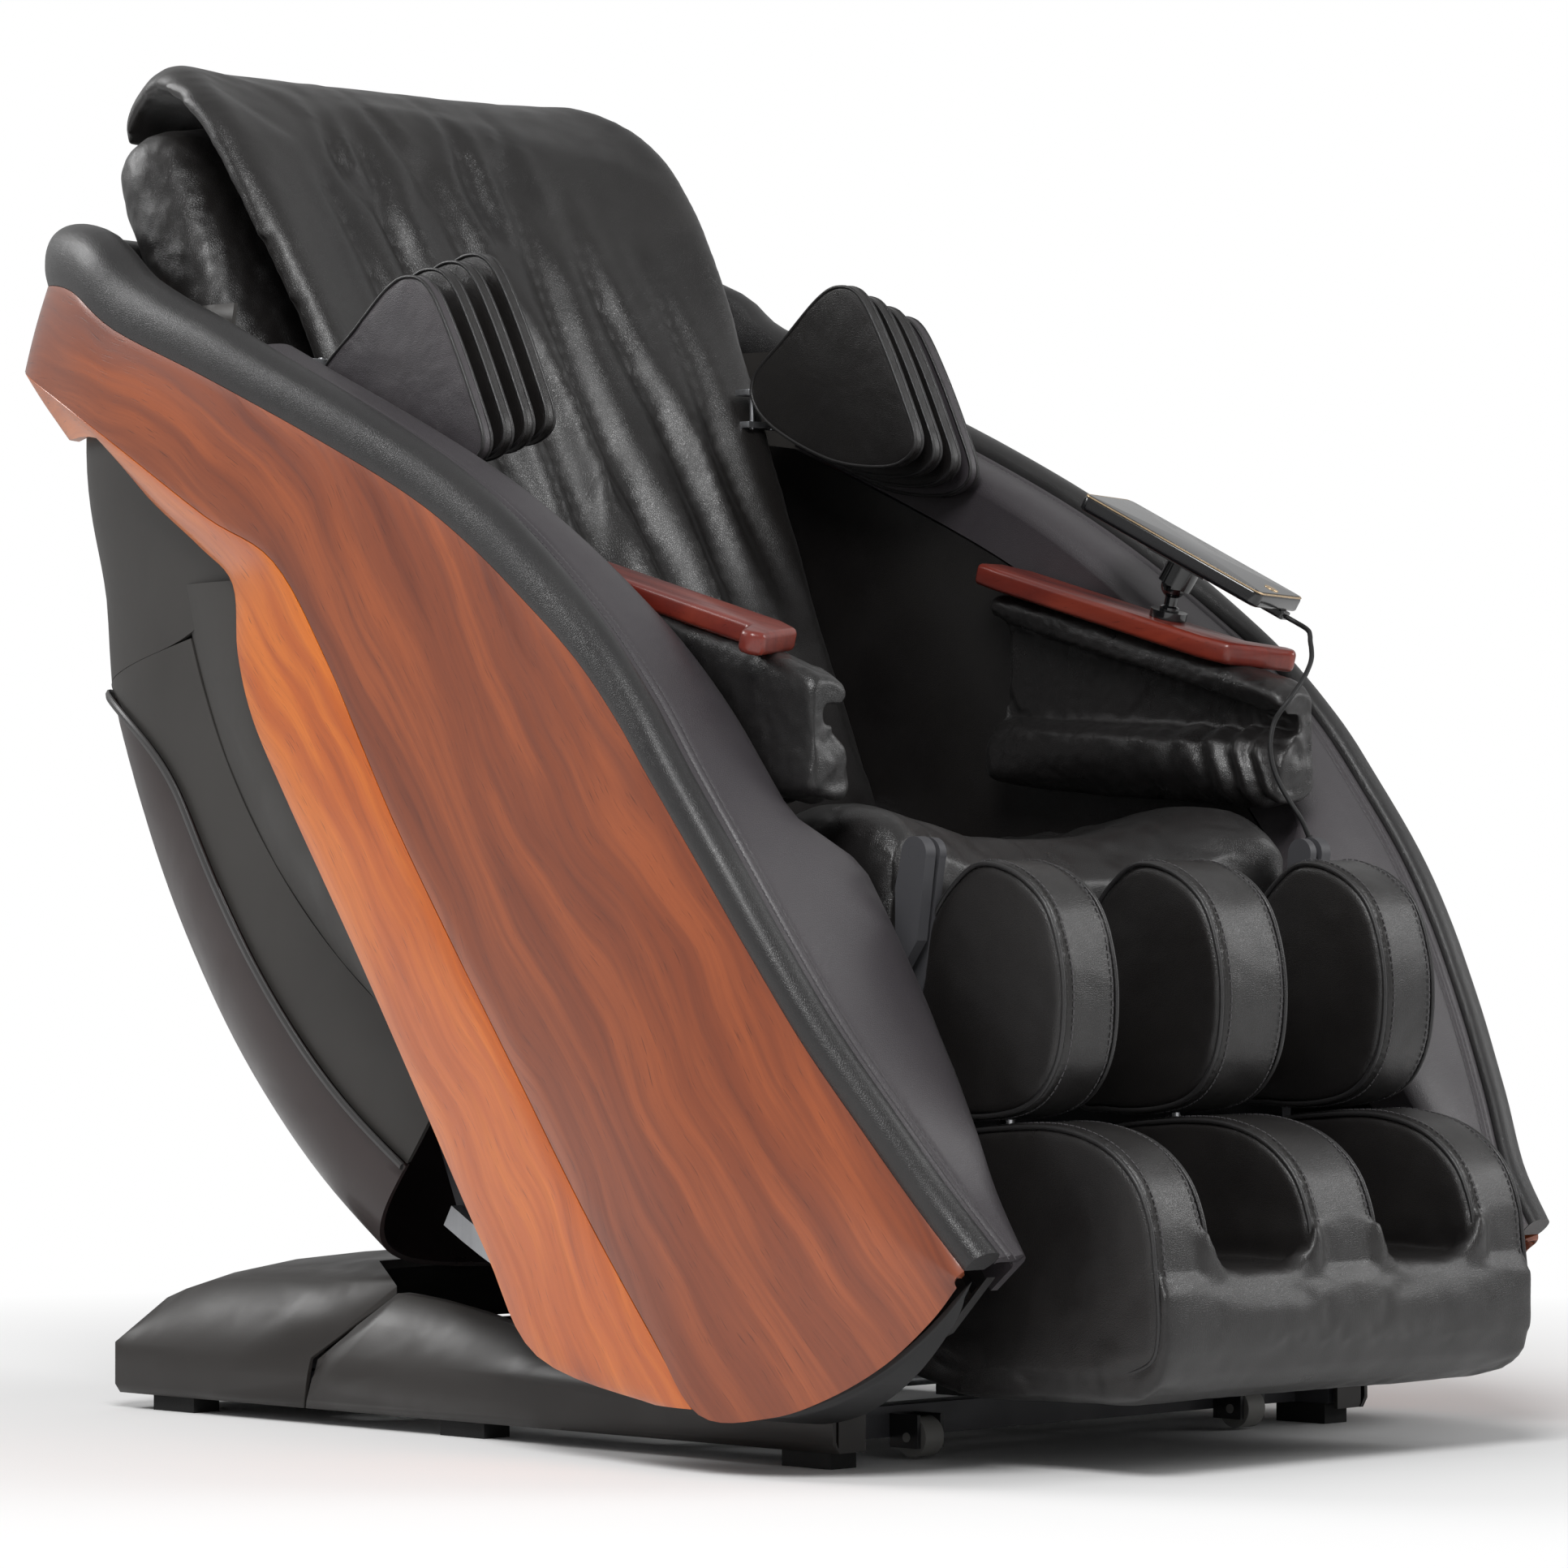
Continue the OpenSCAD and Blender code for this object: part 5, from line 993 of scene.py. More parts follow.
# %% Shoulder leaves
LEAF_BACK, LEAF_LONG, LEAF_THICK, LEAF_GAP, WALL_X = 266.0, 212.0, 16.0, 9.0, 322.0
LEAF_SHAPE = [
    (0, 930), (-0.2, 966), (-0.4, 1000), (-0.53, 1010), (-0.66, 1000), (-0.8, 955), (-0.94, 895), (-1, 862),
    (-0.95, 845), (-0.8, 838), (-0.5, 846), (-0.2, 872), (-0.02, 900),
]


def leaf_part(side, k):
    x = WALL_X - 5 - LEAF_THICK / 2 - k * (LEAF_THICK + LEAF_GAP)
    outline = outline_of([(LEAF_BACK + a * LEAF_LONG, b + 8 * k) for a, b in LEAF_SHAPE], 8)
    low, high = sorted((side * (x - LEAF_THICK / 2 + 2.4), side * (x + LEAF_THICK / 2 - 2.4)))
    rings = plate_rings(outline, low, high, 2.0, 2.6, 3.0, 8)
    seams = [at_x(outline, low + 0.6, 1.0), at_x(outline, high - 0.6, 1.0)]
    return loft(rings), seams


for side, word in ((-1, "left"), (1, "right")):
    for k in range(4):
        part, seams = leaf_part(side, k)
        body = "cocoon" if k == 0 else f"leaf_{word}_{k + 1}"
        leaf = make(f"shoulder_leaf_{word}_{k + 1}_pad", part, sharp=70)
        modify(leaf, "SUBSURF", levels=1, render_levels=1)
        bpy.context.view_layer.update()
        bake(leaf, 75)
        press(leaf, lambda p, n: pucker(p, n, 0.5, 0.03))
        nodes = [] if k == 0 else [f"shoulder_leaf_{word}_{k + 1}"]
        dress(leaf, body, LEATHER_GREY if k == 0 else LEATHER_SOFT, nodes)
        for line in seams:
            piping.append((body, line, 1.7, True))
print("leaves: 8")

# %% [markdown]
# The seat cushion dips in the middle and rises to the sides, like a bucket. Its front edge rolls
# over. After it has swollen, shallow creases are pressed in where a sitter folds it.

# %% Seat cushion
SEAT_Z, SEAT_HALF, SEAT_FRONT, SEAT_LENGTH = 500.0, 258.0, -380.0, 440.0


def seat_top(x, y):
    v = y - SEAT_FRONT
    return SEAT_Z + 52 * abs(x / SEAT_HALF) ** 2.4 - 0.09 * v + 10 * math.sin(math.pi * min(v / 200, 1))


def seat_point(u, v, top):
    x, y = u * (SEAT_HALF - 5), SEAT_FRONT + 5 + v * (SEAT_LENGTH - 10)
    bottom = 419 - 0.045 * v * SEAT_LENGTH
    high = seat_top(x, y) + 2
    edge = max(abs(u) - 0.86, 0) / 0.14
    front, back = max(0.13 - v, 0) / 0.13, max(v - 0.93, 0) / 0.07
    high -= 30 * edge ** 2 + 20 * front ** 2.4 + 34 * back ** 2
    return Vector((x, y, high if top else bottom))


us = [-1 + 2 * k / 40 for k in range(41)]
vs = [k / 36 for k in range(37)]
seat = make("seat_pad", slab(
    [[seat_point(u, v, True) for u in us] for v in vs], [[seat_point(u, v, False) for u in us] for v in vs],
))
seat_rim = [Vector((x, y, z)) for x in range(-250, 251, 10) for y, z in ((SEAT_FRONT + 5, 424), (50, 402))]
seat_side = [Vector((s * 253, y, 418 - 0.045 * (y + 380))) for s in (-1, 1) for y in range(-370, 55, 10)]
inflate(seat, seat_rim + seat_side, 12, 5.0, 5.5)


def crease(p, a, b, depth, width):
    """One long soft crease from a to b, deepest in its middle."""
    a, b = Vector(a), Vector(b)
    ab = b - a
    t = min(max((p - a).dot(ab) / ab.length_squared, 0), 1)
    away = (p - a - ab * t).length / width
    return (
        -depth * math.sin(math.pi * (0.08 + 0.84 * t))
        * (math.exp(-away ** 2) - 0.45 * math.exp(-((away - 2) / 1.1) ** 2))
    )


SEAT_CREASES = [
    ((-235, -150, 545), (-60, -190, 492), 7, 11), ((235, -140, 545), (50, -205, 492), 7, 12),
    ((-225, -40, 540), (-70, -60, 485), 6, 10), ((225, -60, 540), (90, -80, 485), 6, 10),
    ((-200, -260, 525), (-110, -330, 497), 5, 9), ((205, -250, 525), (60, -340, 497), 6, 10),
    ((-150, 20, 505), (150, 10, 505), 6, 12), ((-40, -290, 500), (110, -300, 500), 3, 14),
]


def crumple(p, depth, size):
    """Short random folds, long across the run of the leather."""
    q = Vector((p.x * size, p.y * size * 0.5, p.z * size * 0.5))
    return -depth * max(0.0, 1 - abs(noise.noise(q)) * 5.0)


press(seat, lambda p, n: (
    sum(crease(p, *c) for c in SEAT_CREASES) + crumple(p, 0.8, 0.01) * max(n.z, 0) + pucker(p, n, 1.2, 0.012)
))
dress(seat, "cocoon", LEATHER_BLACK, ["seat_cushion"])
print("seat:", len(seat.data.polygons))

# %% [markdown]
# The back pad leans back from the seat, hollow across its width, and its head end turns over the
# top of the chair. It is a thin upholstered pad over the roller track, so its leather hangs
# slack. Long folds run down it, which start under the head and spread as they go down.

# %% Back pad
BACK_Y, BACK_Z, LEAN, BACK_LONG = 110.0, 490.0, math.radians(29.5), 854.36
PAD_ROWS = [
    (0.00, 0, 236, 0, 0, 0.5), (0.04, 0, 244, 4, 0, 1), (0.16, 0, 252, 12, 0, 1), (0.30, 0, 258, 20, 0, 1),
    (0.45, 0, 266, 30, 0, 1), (0.60, 0, 276, 38, 0, 1), (0.72, 0, 288, 42, 0, 1), (0.82, 0, 296, 38, 4, 1),
    (0.90, -1, 294, 26, 14, 1), (0.955, -12, 284, 8, 40, 1), (0.985, -36, 268, 0, 72, 1),
    (0.988, -66, 260, 0, 92, 1), (0.978, -92, 256, 0, 106, 0.9), (0.968, -104, 256, 0, 114, 0.4),
]
PAD_THICK = 34.0


def lean(d, out):
    return (BACK_Y + d * math.sin(LEAN) - out * math.cos(LEAN), BACK_Z + d * math.cos(LEAN) + out * math.sin(LEAN))


def fine_rows(rows, steps):
    out = []
    for i in range(len(rows) - 1):
        near = [rows[min(max(i + k, 0), len(rows) - 1)] for k in (-1, 0, 1, 2)]
        for k in range(steps):
            out.append([mix4(a, b, c, d, k / steps) for a, b, c, d in zip(*near)])
    return out + [list(rows[-1])]


# folds: where each starts and ends (share of the half width, share of the height), depth, width
FOLDS = [
    (-0.62, 0.80, -0.50, 0.22, 9, 0.055), (-0.36, 0.86, -0.20, 0.16, 12, 0.07), (-0.08, 0.84, 0.06, 0.10, 13, 0.075),
    (0.20, 0.86, 0.34, 0.14, 12, 0.065), (0.44, 0.80, 0.60, 0.20, 10, 0.055), (0.66, 0.74, 0.80, 0.30, 7, 0.045),
    (-0.50, 0.92, -0.40, 0.74, 6, 0.04), (-0.22, 0.94, -0.14, 0.76, 6, 0.04), (0.06, 0.93, 0.12, 0.74, 6, 0.045),
    (0.32, 0.92, 0.30, 0.72, 5, 0.04), (-0.80, 0.60, -0.70, 0.30, 5, 0.04), (0.16, 0.50, 0.10, 0.12, 6, 0.05),
]


def fold_depth(u, d):
    total = 0.0
    for u0, d0, u1, d1, depth, width in FOLDS:
        t = min(max((d - d0) / (d1 - d0), 0), 1)
        beyond = max(d - d0, d1 - d, 0)
        at = u0 + (u1 - u0) * t + 0.025 * math.sin(7 * t + 9 * u0)
        spread = width * (0.6 + 0.7 * t)
        fade = math.sin(math.pi * min(max(0.1 + 0.86 * t, 0), 1)) ** 0.7 * math.exp(-(beyond / 0.03) ** 2)
        away = (u - at) / spread
        total += 1.25 * depth * fade * (math.exp(-away ** 2) - 0.5 * math.exp(-((abs(away) - 1.9) / 0.9) ** 2))
    return total


def pad_point(row, u, face):
    d, stand, half, bow, tip, full = row
    out = stand + bow * abs(u) ** 2.2
    edge = max(abs(u) - 0.9, 0) / 0.1
    depth = PAD_THICK * face * full * (1 - 0.55 * edge ** 2)
    if face:
        depth -= 4.5
        depth -= fold_depth(u, d) * (1 - edge ** 2)
    else:
        depth += 2.0
    tip = math.radians(tip)
    y, z = lean(d * BACK_LONG + depth * math.sin(tip), out + depth * math.cos(tip))
    return Vector((u * half, y, z))


pad_rows = fine_rows(PAD_ROWS, 9)
us = [-1 + 2 * k / 110 for k in range(111)]
front = [[pad_point(r, u, 1) for u in us] for r in pad_rows]
rear = [[pad_point(r, u, 0) for u in us] for r in pad_rows]
back_pad = make("back_pad_cover", slab(front, rear))
inflate(back_pad, [p for row in rear for p in row[::3]], 5, 1.2, 8.5, 7.0)
press(back_pad, lambda p, n: pucker(p, n, 1.2, 0.009))
dress(back_pad, "cocoon", LEATHER_SOFT, ["back_pad"])
print("back pad:", len(back_pad.data.polygons))

# %% [markdown]
# Behind the pad's edges stand two round bolsters, which fill the corners between pad and wall.

# %% Back bolsters
BOLSTER_ROWS = [(0.36, 0.55), (0.38, 0.9), (0.5, 1), (0.66, 1), (0.8, 1), (0.88, 0.97), (0.925, 0.86), (0.945, 0.6)]
BOLSTER_RING = [(190, -14), (245, -14), (281, -24), (298, -52), (296, -88), (272, -118), (235, -134), (190, -138)]
bolster_ring = [(p.x, p.y) for p in curve([(a, b, 0) for a, b in BOLSTER_RING], 5, True)]


def bolster(side):
    rings = []
    for d, full in fine_rows(BOLSTER_ROWS, 5):
        ring = []
        for a, b in bolster_ring:
            y, z = lean(d * BACK_LONG, -74 + (b + 74) * full * 0.97)
            ring.append(Vector((side * (236 + (a - 236) * full * 0.97), y, z)))
        rings.append(ring)
    return loft(rings)


bolsters = make("back_bolster_pads", merge_parts(bolster(1), bolster(-1)))
inflate(bolsters, [], 4, voxel=6.0, cloth=False)
press(bolsters, lambda p, n: pucker(p, n, 2.0, 0.02))
dress(bolsters, "cocoon", LEATHER_SOFT, ["back_bolsters"])

# %% [markdown]
# Under each wooden arm pad an air-bag channel holds the forearm. It is a C-shaped roll of
# leather whose front lip is gathered: the folds run across the roll and are deepest at its mouth.

# %% Arm channels
ARM_YS = [-350, -342, -325, -290, -250, -200, -150, -100, -50, 0, 9]
ARM_IN, ARM_FACE = WALL_X - 56, WALL_X - 1.3


def arm_loop(y, end):
    """The C-shaped section at depth y, as one closed ring: out along its outside, back along its inside."""
    low, high = 545 + (y + 360) * 0.06 + end, 690 + (y + 290) * 0.27 - 21.6 - end
    e, half = end, (low + high) / 2
    outer = [(ARM_IN + 1 + e, low + 14), (ARM_IN + 10, low + 3), (ARM_IN + 26, low + 1),
             (ARM_FACE - e / 2, low + 8), (ARM_FACE - e / 2, half),
             (ARM_FACE - e / 2, high - 4), (ARM_IN + 30, high - 1), (ARM_IN + 8 + e, high - 7)]
    inner = [(ARM_IN + 8 + e, high - 18), (ARM_IN + 28, high - 24 + e),
             (ARM_FACE - 18, high - 26 + e), (ARM_FACE - 16, half + 4),
             (ARM_FACE - 20, low + 62 - e), (ARM_IN + 22, low + 58 - 2 * e), (ARM_IN + 3 + e, low + 46 - 2 * e)]
    return [(x, y, z) for x, z in outer + inner]


def arm_rings():
    ends = [8, 3, 0, 0, 0, 0, 0, 0, 0, 3, 8]
    base = [arm_loop(y, e) for y, e in zip(ARM_YS, ends)]
    smooth = [curve(ring, 5, True) for ring in base]
    columns = list(zip(*smooth))
    lines = [curve(column, 6) for column in columns]
    return [list(ring) for ring in zip(*lines)]


right_arm = arm_rings()
arms = make("arm_channel_pads", merge_parts(loft(right_arm), loft([mirror(r) for r in right_arm])))
arm_pins = [Vector((s * ARM_FACE, y, z)) for s in (-1, 1) for y in range(-345, 10, 10) for z in range(555, 700, 12)]
inflate(arms, arm_pins, 6, 3.5, 4.0, 8.0)
ARM_FOLDS = [(-338, 9, 8), (-318, 10, 7), (-292, 8, 8), (-262, 6, 8), (-226, 4, 9), (-180, 3, 10)]


def arm_gather(p, n):
    inner = min(max((ARM_FACE - 8 - abs(p.x)) / 20, 0), 1)
    lower = min(max((640 - p.z) / 40, 0), 1)
    total = pucker(p, n, 1.2, 0.03)
    for y, depth, width in ARM_FOLDS:
        at = y + 0.35 * (p.z - 590) + 6 * noise.noise(Vector((abs(p.x) * 0.03, p.z * 0.03, y)))
        total -= depth * 0.5 * inner * lower * (
            math.exp(-((p.y - at) / width) ** 2) - 0.4 * math.exp(-((abs(p.y - at) - 1.8 * width) / width) ** 2)
        )
    return total


press(arms, arm_gather)
dress(arms, "cocoon", LEATHER_BLACK, ["arm_bolsters"])
print("arm channels:", len(arms.data.polygons))

# %% [markdown]
# The arm pads are solid mahogany-toned boards with well-rounded edges, so a bevel on the
# outline is all that they need.

# %% Arm pads
ARM_PLAN = [
    (-58, -255), (-48, -283), (16, -308), (26, -300), (25, -288),
    (-6, -266), (-6, 0), (-22, 30), (-54, 30), (-58, 0),
]
slope = math.atan(0.27)


def arm_board(side):
    rings = []
    for h in (0, 20):
        ring = []
        for x, y in ARM_PLAN:
            run = y + 290
            ring.append(Vector((
                side * (WALL_X + x),
                -290 + run * math.cos(slope) - h * math.sin(slope),
                670 + run * math.sin(slope) + h * math.cos(slope),
            )))
        rings.append(ring)
    n = len(ARM_PLAN)
    faces = [(i, (i + 1) % n, n + (i + 1) % n, n + i) for i in range(n)]\
        + [tuple(reversed(range(n))), tuple(range(n, 2 * n))]
    return rings[0] + rings[1], faces


arm_boards = make("arm_pad_boards", merge_parts(arm_board(1), arm_board(-1)))
modify(arm_boards, "BEVEL", width=5 * MM, segments=5, limit_method="ANGLE", angle_limit=math.radians(20))
bpy.context.view_layer.update()
bake(arm_boards, 60)
dress(arm_boards, "cocoon", WOOD_ARM, ["arm_pads"])

# %% [markdown]
# The tablet is a slim black slab with a glass front, a pale metal rim and a round key. Its parts
# are built flat, at the origin, and then turned into the tablet's pose by one matrix.

# %% Tablet remote
TABLET = (
    Matrix.Translation(Vector((302.29, -214, 768.6)))
    @ Matrix.Rotation(math.radians(21.7), 4, "Z") @ Matrix.Rotation(math.radians(29), 4, "X")
)
TW, TL, TT = 120.0, 192.0, 15.0


def round_box(w, l, z0, z1, radius, ease, steps=6):
    """Rings of a box with round corners whose top and bottom edges are eased."""
    def ring(z, shrink):
        pts = []
        for cx, cy, turn in ((1, 1, 0), (-1, 1, 90), (-1, -1, 180), (1, -1, 270)):
            for k in range(steps + 1):
                t = math.radians(turn + 90 * k / steps)
                r = radius - shrink
                pts.append(Vector((cx * (w / 2 - radius) + r * math.cos(t), cy * (l / 2 - radius) + r * math.sin(t), z)))
        return pts
    arc = [(ease * (1 - math.cos(math.pi / 2 * k / 4)), ease * (1 - math.sin(math.pi / 2 * k / 4))) for k in range(5)]
    low = [ring(z0 + a, b) for a, b in arc]
    high = [ring(z1 - a, b) for a, b in reversed(arc)]
    return loft(low + high)


def placed(part, matrix):
    return [matrix @ Vector(v) for v in part[0]], part[1]


def moved(part, x=0.0, y=0.0, z=0.0):
    return [Vector(v) + Vector((x, y, z)) for v in part[0]], part[1]


case = placed(round_box(TW, TL, 0, TT - 0.8, 9, 3.0), TABLET)
plug = placed(moved(round_box(19, 23.5, -7, 0.5, 3, 1.0), 24, -TL / 2 - 4 + 12), TABLET)
dress(make("tablet_case", merge_parts(case, plug), sharp=50), "tablet", PLASTIC_GLOSS, ["tablet_remote"])
rim_line = [TABLET @ Vector(p) for p in round_box(TW - 1.2, TL - 1.2, TT - 1.2, TT - 0.4, 8.4, 0.3)[0][:28]]
dress(make("tablet_rim", tube(rim_line, 0.9, 8, True)), "tablet", GOLD_RIM)
glass = placed(round_box(TW - 5, TL - 5, TT - 1.4, TT, 6.5, 0.5), TABLET)
print("tablet built")


# %% Tablet screen and key
def screen_finish():
    """Dark glass over a plain dim display whose tone varies a little."""
    f = Finish("tablet_glass", Roughness=0.06, Specular_IOR_Level=0.6, Coat_Weight=0.5, Coat_Roughness=0.03)
    tone = f.noise(9.0, 2.0)
    smear = f.noise(60.0, 4.0)
    shade = f.ramp(tone, [(0.3, srgb(14, 15, 18)), (0.7, srgb(26, 28, 33))])
    return f.out(shade, f.between(smear, 0.04, 0.12))


dress(make("tablet_glass_front", glass, sharp=50), "tablet", screen_finish())
key = placed(moved(round_box(13.8, 13.8, TT - 3.4, TT + 1.0, 6.9, 0.8), 0, -TL / 2 + 13), TABLET)
dress(make("tablet_round_key", key, sharp=50), "tablet_key", GOLD_RIM, ["tablet_button"])

# %% [markdown]
# All parts that keep their CAD shape get a finish of their own too, by their material slots.

# %% Finishes of the parts kept from the CAD model
KEPT = {
    STEEL_PAINTED: ["base_frame", "main_frame", "calf_frame", "carriage_frame", "seat_pan"],
    STEEL_ZINC: ["cradle_rails", "back_rails", "cradle_rollers_front", "cradle_rollers_rear"],
    CHROME: ["tilt_rod", "leg_rod", "slide_rods", "knead_shaft"],
    PLASTIC_BLACK: ["wheel_bracket", "power_inlet", "carrier_plates", "tilt_actuator", "leg_actuator", "air_pump"],
    PLASTIC_GLOSS: ["power_switch", "holder_foot", "holder_arm", "tablet_cradle"],
    PLASTIC_GREY: ["transport_wheels", "control_box"],
    RUBBER: ["rubber_feet", "massage_rollers", "foot_rollers"],
    CORD_RUBBER: ["cord_gland"],
    LEATHER_SOFT: ["side_walls"],
}
for finish, names in KEPT.items():
    for name in names:
        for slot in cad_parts[name].material_slots:
            slot.material = finish
print("kept CAD parts:", sum(len(v) for v in KEPT.values()))

# %% [markdown]
# Behind the leaves, two steel ears on each side hold the pins that the leaves turn on, and a
# back plate ties the ears to the wall.

# %% Leaf brackets
PIN_Y, PIN_Z, PIN_R = 272.0, 925.0, 2.4


def bar(lo, hi):
    """A plain bar between two corners, as one closed part."""
    return loft([
        [Vector((x, y, z)) for x, y in ((lo[0], lo[1]), (hi[0], lo[1]), (hi[0], hi[1]), (lo[0], hi[1]))]
        for z in (lo[2], hi[2])
    ])


def bracket(side):
    x0, x1 = sorted((side * 226, side * 321.7))
    w0, w1 = sorted((side * 276, side * 321.7))
    parts = [bar((x0, PIN_Y - 3.4, z - 3), (x1, PIN_Y + 15, z + 3)) for z in (PIN_Z - 15.3, PIN_Z + 15.3)]
    parts.append(bar((w0, 281.5, PIN_Z - 18.3), (w1, 287, PIN_Z + 18.3)))
    for k in range(4):
        x = side * (309 - 25 * k)
        pin = [Vector((x, PIN_Y, PIN_Z + dz)) for dz in (-19.5, -6, 6, 19.5)]
        parts.append(tube(pin, PIN_R, 12, False))
    return parts


brackets = make("leaf_brackets", merge_parts(*bracket(1), *bracket(-1)))
modify(brackets, "BEVEL", width=0.6 * MM, segments=2, limit_method="ANGLE", angle_limit=math.radians(40))
bpy.context.view_layer.update()
bake(brackets, 40)
dress(brackets, "cocoon", STEEL_ZINC, ["shoulder_plates"])
print("leaf brackets:", len(brackets.data.polygons))

# %% [markdown]
# Piping is a thin tube of leather sewn into a seam. Every seam line that was collected above
# becomes one tube, and all tubes that ride on one body become one mesh.

# %% Piping
for body in sorted({entry[0] for entry in piping}):
    tubes = [
        tube(even(line, 4.0, closed), radius, 8, closed)
        for b, line, radius, closed in piping if b == body and len(line) > 3
    ]
    dress(make(f"piping_{body}", merge_parts(*tubes), sharp=70), body, LEATHER_TRIM)
    print("piping", body, len(tubes))

# %% [markdown]
# Stitches repeat by the thousand, so Geometry Nodes set them: the seam lines become curves, the
# curves become evenly spaced points, and one short thread lies on each point, turned along the
# seam. The tree has named inputs for the pitch and the size of a stitch.

# %% Stitch tree
def stitch_tree():
    tree = bpy.data.node_groups.new("stitch_row", "GeometryNodeTree")
    face = tree.interface
    face.new_socket("Seams", in_out="INPUT", socket_type="NodeSocketGeometry")
    for label, value in (("Pitch", 6.5 * MM), ("Stitch length", 4.4 * MM), ("Thread radius", 0.55 * MM)):
        socket = face.new_socket(label, in_out="INPUT", socket_type="NodeSocketFloat")
        socket.default_value = value
    face.new_socket("Stitches", in_out="OUTPUT", socket_type="NodeSocketGeometry")
    new, link = tree.nodes.new, tree.links.new
    start, end = new("NodeGroupInput"), new("NodeGroupOutput")
    rows, resample = new("GeometryNodeMeshToCurve"), new("GeometryNodeResampleCurve")
    resample.mode = "LENGTH"
    points, turn = new("GeometryNodeInstanceOnPoints"), new("FunctionNodeAlignRotationToVector")
    turn.axis = "Z"
    tangent, thread_shape = new("GeometryNodeInputTangent"), new("GeometryNodeMeshCylinder")
    thread_shape.inputs["Vertices"].default_value = 6
    solid, finish = new("GeometryNodeRealizeInstances"), new("GeometryNodeSetMaterial")
    finish.inputs["Material"].default_value = THREAD
    link(start.outputs["Seams"], rows.inputs["Mesh"])
    link(rows.outputs["Curve"], resample.inputs["Curve"])
    link(start.outputs["Pitch"], resample.inputs["Length"])
    link(resample.outputs["Curve"], points.inputs["Points"])
    link(start.outputs["Thread radius"], thread_shape.inputs["Radius"])
    link(start.outputs["Stitch length"], thread_shape.inputs["Depth"])
    link(thread_shape.outputs["Mesh"], points.inputs["Instance"])
    link(tangent.outputs["Tangent"], turn.inputs["Vector"])
    link(turn.outputs["Rotation"], points.inputs["Rotation"])
    link(points.outputs["Instances"], solid.inputs["Geometry"])
    link(solid.outputs["Geometry"], finish.inputs["Geometry"])
    link(finish.outputs["Geometry"], end.inputs["Stitches"])
    return tree


STITCHES = stitch_tree()


def run_tree(name, tree, lines, sizes):
    """Seam lines as a wire mesh, run through a tree, baked into a plain mesh."""
    mesh = bpy.data.meshes.new(name)
    verts, edges = [], []
    for line in lines:
        edges += [(len(verts) + k, len(verts) + k + 1) for k in range(len(line) - 1)]
        verts += [Vector(p) * MM for p in line]
    mesh.from_pydata(verts, edges, [])
    obj = bpy.data.objects.new(name, mesh)
    bpy.context.scene.collection.objects.link(obj)
    rows = obj.modifiers.new("rows", "NODES")
    rows.node_group = tree
    for item in tree.interface.items_tree:
        if item.item_type == "SOCKET" and item.name in sizes:
            rows[item.identifier] = sizes[item.name]
    bpy.context.view_layer.update()
    result = bpy.data.meshes.new_from_object(obj.evaluated_get(bpy.context.evaluated_depsgraph_get()))
    obj.modifiers.remove(rows)
    obj.data = result
    return obj


# %% Stitches
for body in sorted({entry[0] for entry in stitching}):
    lines = [even(line, 3.0) for b, line in stitching if b == body and len(line) > 3]
    row = run_tree(f"stitches_{body}", STITCHES, lines, {
        "Pitch": 6.5 * MM, "Stitch length": 4.4 * MM, "Thread radius": 0.55 * MM,
    })
    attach(row, body)
    print("stitches", body, len(row.data.polygons) // 8)
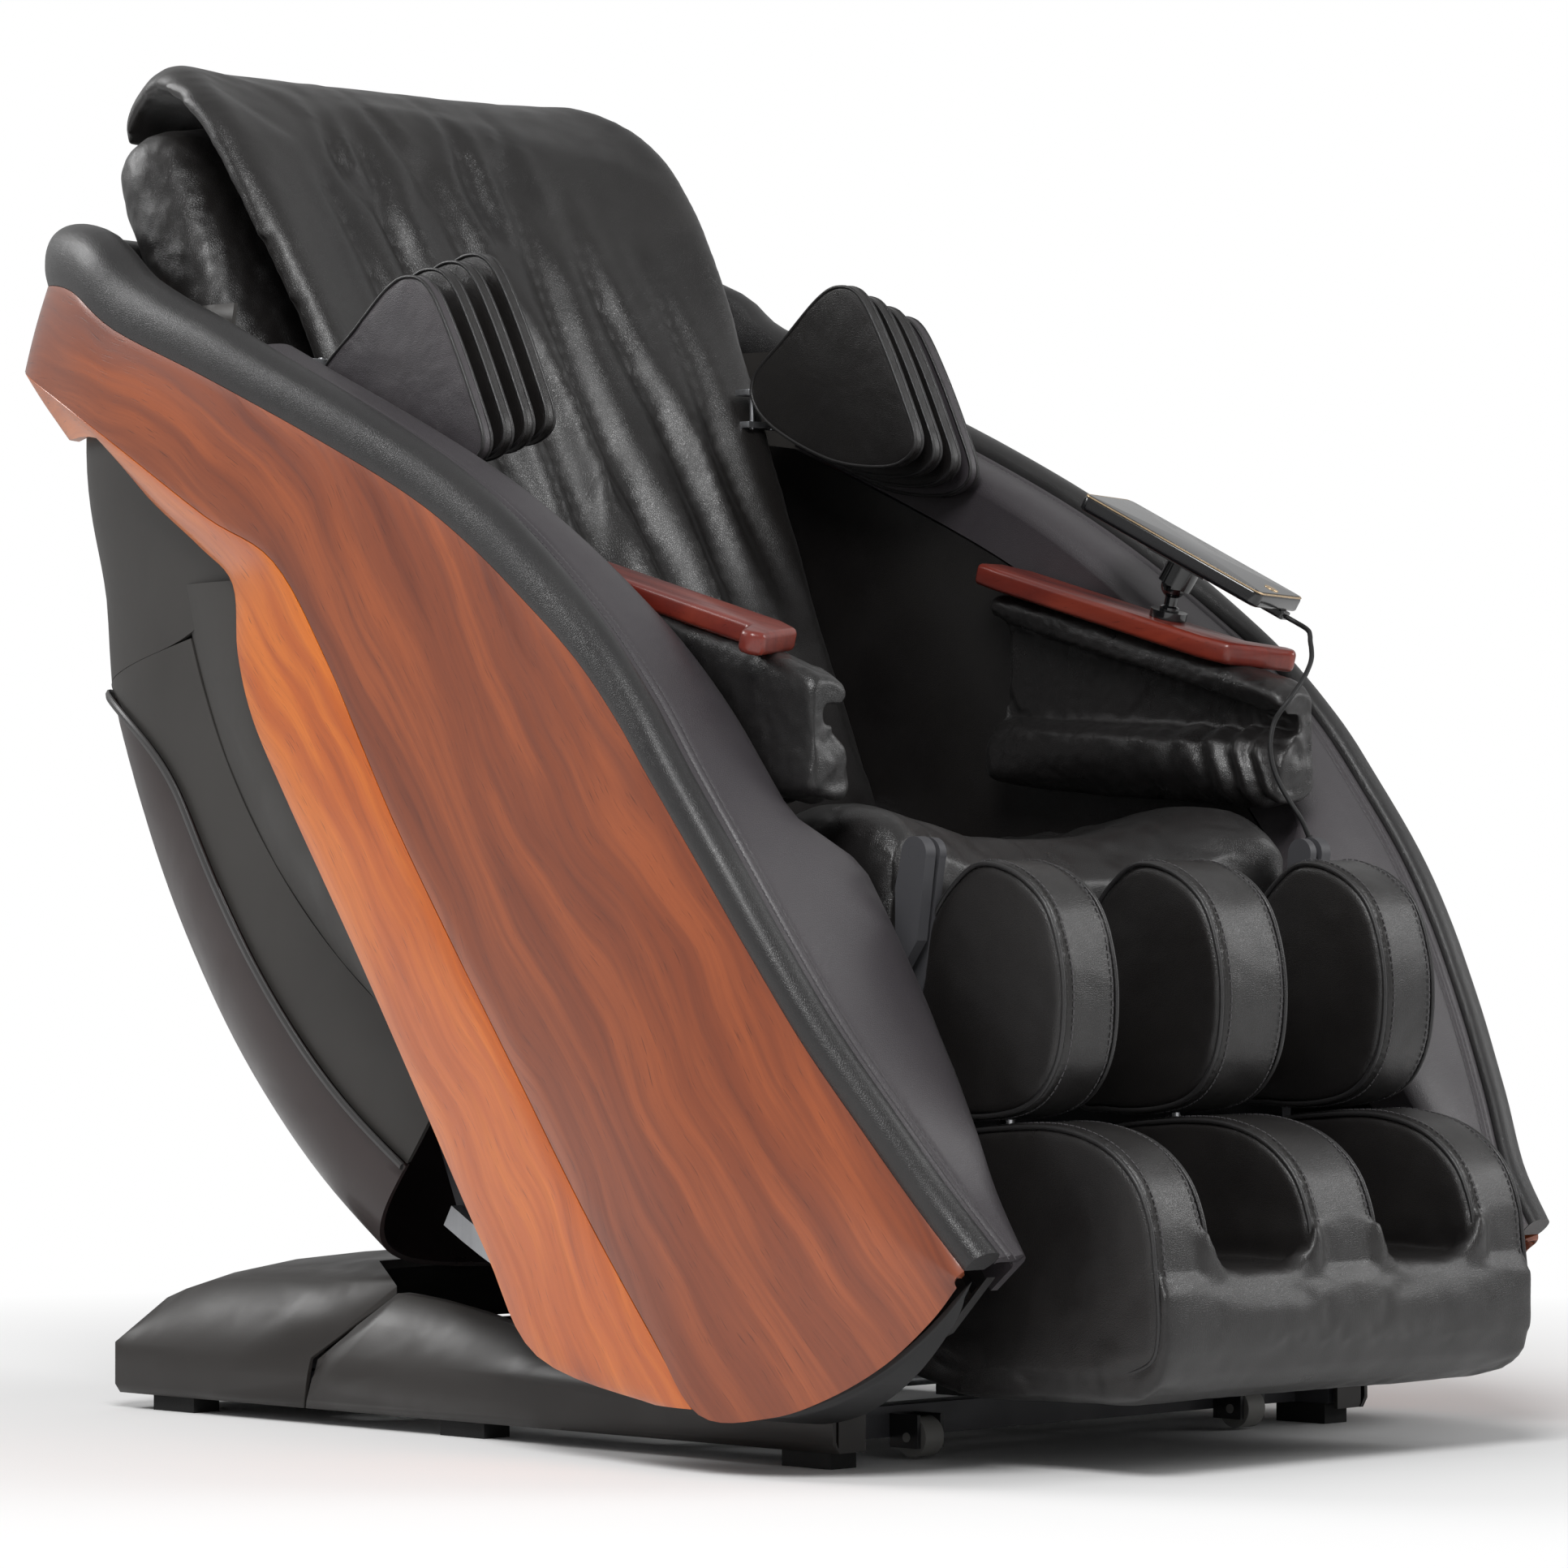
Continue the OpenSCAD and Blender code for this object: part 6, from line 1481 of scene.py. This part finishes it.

# %% [markdown]
# The floor is one large pale plane and the backdrop is the world. Only rays that come from the
# camera see the backdrop as white, so the white adds no light; all other rays see a dimmer grey fill.

# %% Floor
def floor_finish():
    mat = bpy.data.materials.new("pale_floor")
    mat.use_nodes = True
    nt = mat.node_tree
    nt.nodes.clear()
    out, mix = nt.nodes.new("ShaderNodeOutputMaterial"), nt.nodes.new("ShaderNodeMixShader")
    base, white = nt.nodes.new("ShaderNodeBsdfDiffuse"), nt.nodes.new("ShaderNodeEmission")
    base.inputs["Color"].default_value = (0.86, 0.86, 0.86, 1)
    white.inputs["Color"].default_value = (1, 1, 1, 1)
    path, geometry = nt.nodes.new("ShaderNodeLightPath"), nt.nodes.new("ShaderNodeNewGeometry")
    far, fade = nt.nodes.new("ShaderNodeVectorMath"), nt.nodes.new("ShaderNodeMapRange")
    far.operation = "LENGTH"
    fade.inputs["From Min"].default_value, fade.inputs["From Max"].default_value = 0.75, 1.9
    fade.inputs["To Max"].default_value = 1.0
    seen = nt.nodes.new("ShaderNodeMath")
    seen.operation = "MULTIPLY"
    nt.links.new(geometry.outputs["Position"], far.inputs[0])
    nt.links.new(far.outputs["Value"], fade.inputs["Value"])
    nt.links.new(fade.outputs["Result"], seen.inputs[0])
    nt.links.new(path.outputs["Is Camera Ray"], seen.inputs[1])
    nt.links.new(seen.outputs["Value"], mix.inputs["Fac"])
    nt.links.new(base.outputs["BSDF"], mix.inputs[1])
    nt.links.new(white.outputs["Emission"], mix.inputs[2])
    nt.links.new(mix.outputs["Shader"], out.inputs["Surface"])
    return mat


floor_mesh = bpy.data.meshes.new("floor")
floor_mesh.from_pydata([(-30, -30, 0), (30, -30, 0), (30, 30, 0), (-30, 30, 0)], [], [(0, 1, 2, 3)])
floor = bpy.data.objects.new("floor", floor_mesh)
bpy.context.scene.collection.objects.link(floor)
floor_mesh.materials.append(floor_finish())


# %% World and lamps
def world_light():
    world = bpy.data.worlds.new("studio")
    bpy.context.scene.world = world
    world.use_nodes = True
    nt = world.node_tree
    nt.nodes.clear()
    out, mix = nt.nodes.new("ShaderNodeOutputWorld"), nt.nodes.new("ShaderNodeMixShader")
    fill, white = nt.nodes.new("ShaderNodeBackground"), nt.nodes.new("ShaderNodeBackground")
    fill.inputs["Color"].default_value, fill.inputs["Strength"].default_value = (1, 1, 1, 1), 0.42
    white.inputs["Color"].default_value, white.inputs["Strength"].default_value = (1, 1, 1, 1), 1.0
    path = nt.nodes.new("ShaderNodeLightPath")
    nt.links.new(path.outputs["Is Camera Ray"], mix.inputs["Fac"])
    nt.links.new(fill.outputs["Background"], mix.inputs[1])
    nt.links.new(white.outputs["Background"], mix.inputs[2])
    nt.links.new(mix.outputs["Shader"], out.inputs["Surface"])


world_light()


def lamp(name, place, aim, size, watts):
    data = bpy.data.lights.new(name, "AREA")
    data.shape, data.size, data.energy = "DISK", size, watts
    obj = bpy.data.objects.new(name, data)
    obj.location = place
    obj.rotation_euler = (Vector(aim) - Vector(place)).to_track_quat("-Z", "Y").to_euler()
    bpy.context.scene.collection.objects.link(obj)


lamp("key", (-2.6, -2.2, 3.4), (0, 0, 0.6), 1.8, 120)
lamp("fill", (2.8, -2.6, 2.2), (0, 0, 0.6), 2.2, 45)
lamp("rim", (-1.5, 3.2, 2.8), (0, 0, 0.7), 1.8, 60)
bpy.context.scene.view_settings.view_transform = "Standard"
